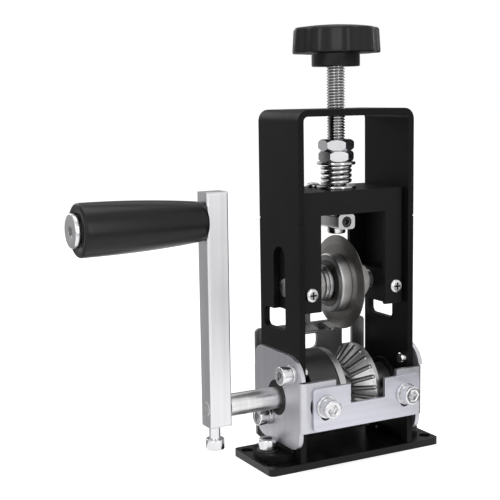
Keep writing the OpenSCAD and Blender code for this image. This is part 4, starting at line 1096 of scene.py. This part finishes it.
# %% Roller sleeve
sleeve_low, sleeve_high = (p.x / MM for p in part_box("roller_sleeve"))
SLEEVE_IN, SLEEVE_OUT = 17.85, 23.8
sleeve_len = sleeve_high - sleeve_low
outline = [(SLEEVE_IN, 0)] + rounded(SLEEVE_OUT, 0, sleeve_len, 0.8)
outline += [(SLEEVE_IN, sleeve_len), (SLEEVE_IN, 0)]
sleeve = lay(lathe(outline, 96), (sleeve_low, 0, DRIVE_Z), RIGHT)
modelled(sleeve, "roller_sleeve", sleeve_black, 45)
print("Sleeve length:", round(sleeve_len, 2), "mm")

# %% [markdown]
# The blade is a disc ground from both sides to a fine edge. The left face has the long bevel that
# shows in the picture, and the right face a short one.

# %% Round blade
blade_low, blade_high = (p.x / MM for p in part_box("blade"))
BLADE_R, BLADE_BORE = 26.0, 13.02
blade_t = blade_high - blade_low
edge_at = blade_t * 0.75
outline = [
    (BLADE_BORE, 0), (BLADE_R - 5.3, 0), (BLADE_R - 4.7, 0.12), (BLADE_R - 0.1, edge_at - 0.15),
    (BLADE_R, edge_at - 0.08), (BLADE_R, edge_at + 0.08), (BLADE_R - 0.1, edge_at + 0.14),
    (BLADE_R - 2.6, blade_t - 0.04), (BLADE_R - 3.0, blade_t), (BLADE_BORE, blade_t),
    (BLADE_BORE, 0),
]
blade = lay(lathe(outline, 160), (blade_low, 0, AXLE_Z), RIGHT)
modelled(blade, "blade", blade_steel, 14)
print("Blade thickness:", round(blade_t, 2), "mm")

# %% [markdown]
# The grip swells from a slim neck beside the arm to a full outer end, along one soft curve. A
# chrome bolt passes through it, and the head sits just clear of the end so that the grip turns.

# %% Grip
grip_end, grip_start = (p.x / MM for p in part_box("grip"))
grip_len = grip_start - grip_end
NECK_R, GRIP_R, GRIP_EDGE, SWELL, GRIP_BORE = 10.2, 13.5, 1.5, 2.2, 4.06
POCKET_R, POCKET_DEEP, GRIP_STEPS = 8.7, 1.2, 24


def grip_radius(share):
    """Radius of the grip at a share of its length from the arm."""
    return NECK_R + (GRIP_R - NECK_R) * (1 - (1 - share) ** SWELL)


body = grip_len - GRIP_EDGE
outline = [(GRIP_BORE, 0), (NECK_R - 0.5, 0)]
outline += [
    (grip_radius(i / GRIP_STEPS), max(body * i / GRIP_STEPS, 0.4)) for i in range(GRIP_STEPS)
]
outline += [
    (GRIP_R - GRIP_EDGE + GRIP_EDGE * cos(a), body + GRIP_EDGE * sin(a))
    for a in [pi / 2 * i / 8 for i in range(9)]
]
outline += [
    (POCKET_R + 0.2, grip_len), (POCKET_R, grip_len - 0.2), (POCKET_R, grip_len - POCKET_DEEP),
    (GRIP_BORE, grip_len - POCKET_DEEP), (GRIP_BORE, 0),
]
grip = lay(lathe(outline, 96), (grip_start, 0, GRIP_Z), LEFT)
modelled(grip, "grip", plastic_black, 50)
print("Grip length:", round(grip_len, 1), "mm")

# %% Grip bolt
bolt_low, bolt_high = (p.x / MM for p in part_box("grip_bolt"))
bolt_len = bolt_high - bolt_low
GRIP_HEAD_D, GRIP_HEAD_T, GRIP_BOLT_D = 17.2, 3.1, 8.0
bolt = socket_screw(
    GRIP_BOLT_D, bolt_len - GRIP_HEAD_T, GRIP_HEAD_D, GRIP_HEAD_T,
    key_share=0.33, key_deep=0.6, edge=0.9,
)
bolt = lay(bolt, (bolt_low + GRIP_HEAD_T, 0, GRIP_Z), LEFT)
modelled(bolt, "grip_bolt", zinc_steel)
print("Grip bolt length:", round(bolt_len, 1), "mm")

# %% [markdown]
# The knob is moulded with nine shallow lobes that give the fingers a hold. It is spun as a round
# knob first. Then each point of the rim is drawn in by a wave that runs nine times round the
# knob, and the wave fades out towards the middle, so the hub and the centre of the top stay round.

# %% Knob
knob_low, knob_high = (p.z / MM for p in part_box("knob"))
KNOB_R, HUB_R, HUB_H, LOBES, HOLLOW, PHASE = 24.1, 13.0, 7.0, 9, 1.5, radians(-28.2)
head_low = knob_low + HUB_H
BORE_R, BORE_DEEP = 5.02, 12.0

outline = [(BORE_R, knob_low), (HUB_R - 0.6, knob_low), (HUB_R - 0.18, knob_low + 0.18)]
outline += [(HUB_R, knob_low + 0.6), (HUB_R, head_low - 0.35), (HUB_R + 0.35, head_low)]
outline += [(17.0, head_low), (20.0, head_low), (KNOB_R - 1.0, head_low)]
outline += [
    (KNOB_R - 0.9 + 0.9 * sin(a), head_low + 0.9 - 0.9 * cos(a))
    for a in [pi / 2 * i / 5 for i in range(6)]
]
outline += [(KNOB_R - 0.35, head_low + 6), (KNOB_R - 0.7, knob_high - 3.2)]
outline += [
    (KNOB_R - 2.4 + 1.7 * cos(a), knob_high - 3.2 + 1.7 * sin(a))
    for a in [pi / 2 * i / 6 for i in range(1, 7)]
]
outline += [(19.0, knob_high - 1.15), (14.0, knob_high - 0.6), (8.0, knob_high - 0.18), (0, knob_high)]
outline = [(0, knob_low + BORE_DEEP), (BORE_R, knob_low + BORE_DEEP)] + outline
bm = lathe(outline, LOBES * 18)
for v in bm.verts:
    r = v.co.xy.length / MM
    if v.co.z >= head_low * MM - 1e-7 and r > HUB_R + 0.4:
        share = min(1.0, (r - HUB_R - 0.4) / (KNOB_R - 3.0 - HUB_R))
        angle = atan2(v.co.y, v.co.x) - PHASE
        dip = HOLLOW * (1 - cos(LOBES * angle)) / 2 * share
        v.co.xy = v.co.xy * ((r - dip) / r)
knob = modelled(bm, "knob", plastic_black, 55)
print("Knob:", len(knob.data.polygons), "faces, open edges", open_edges(knob))
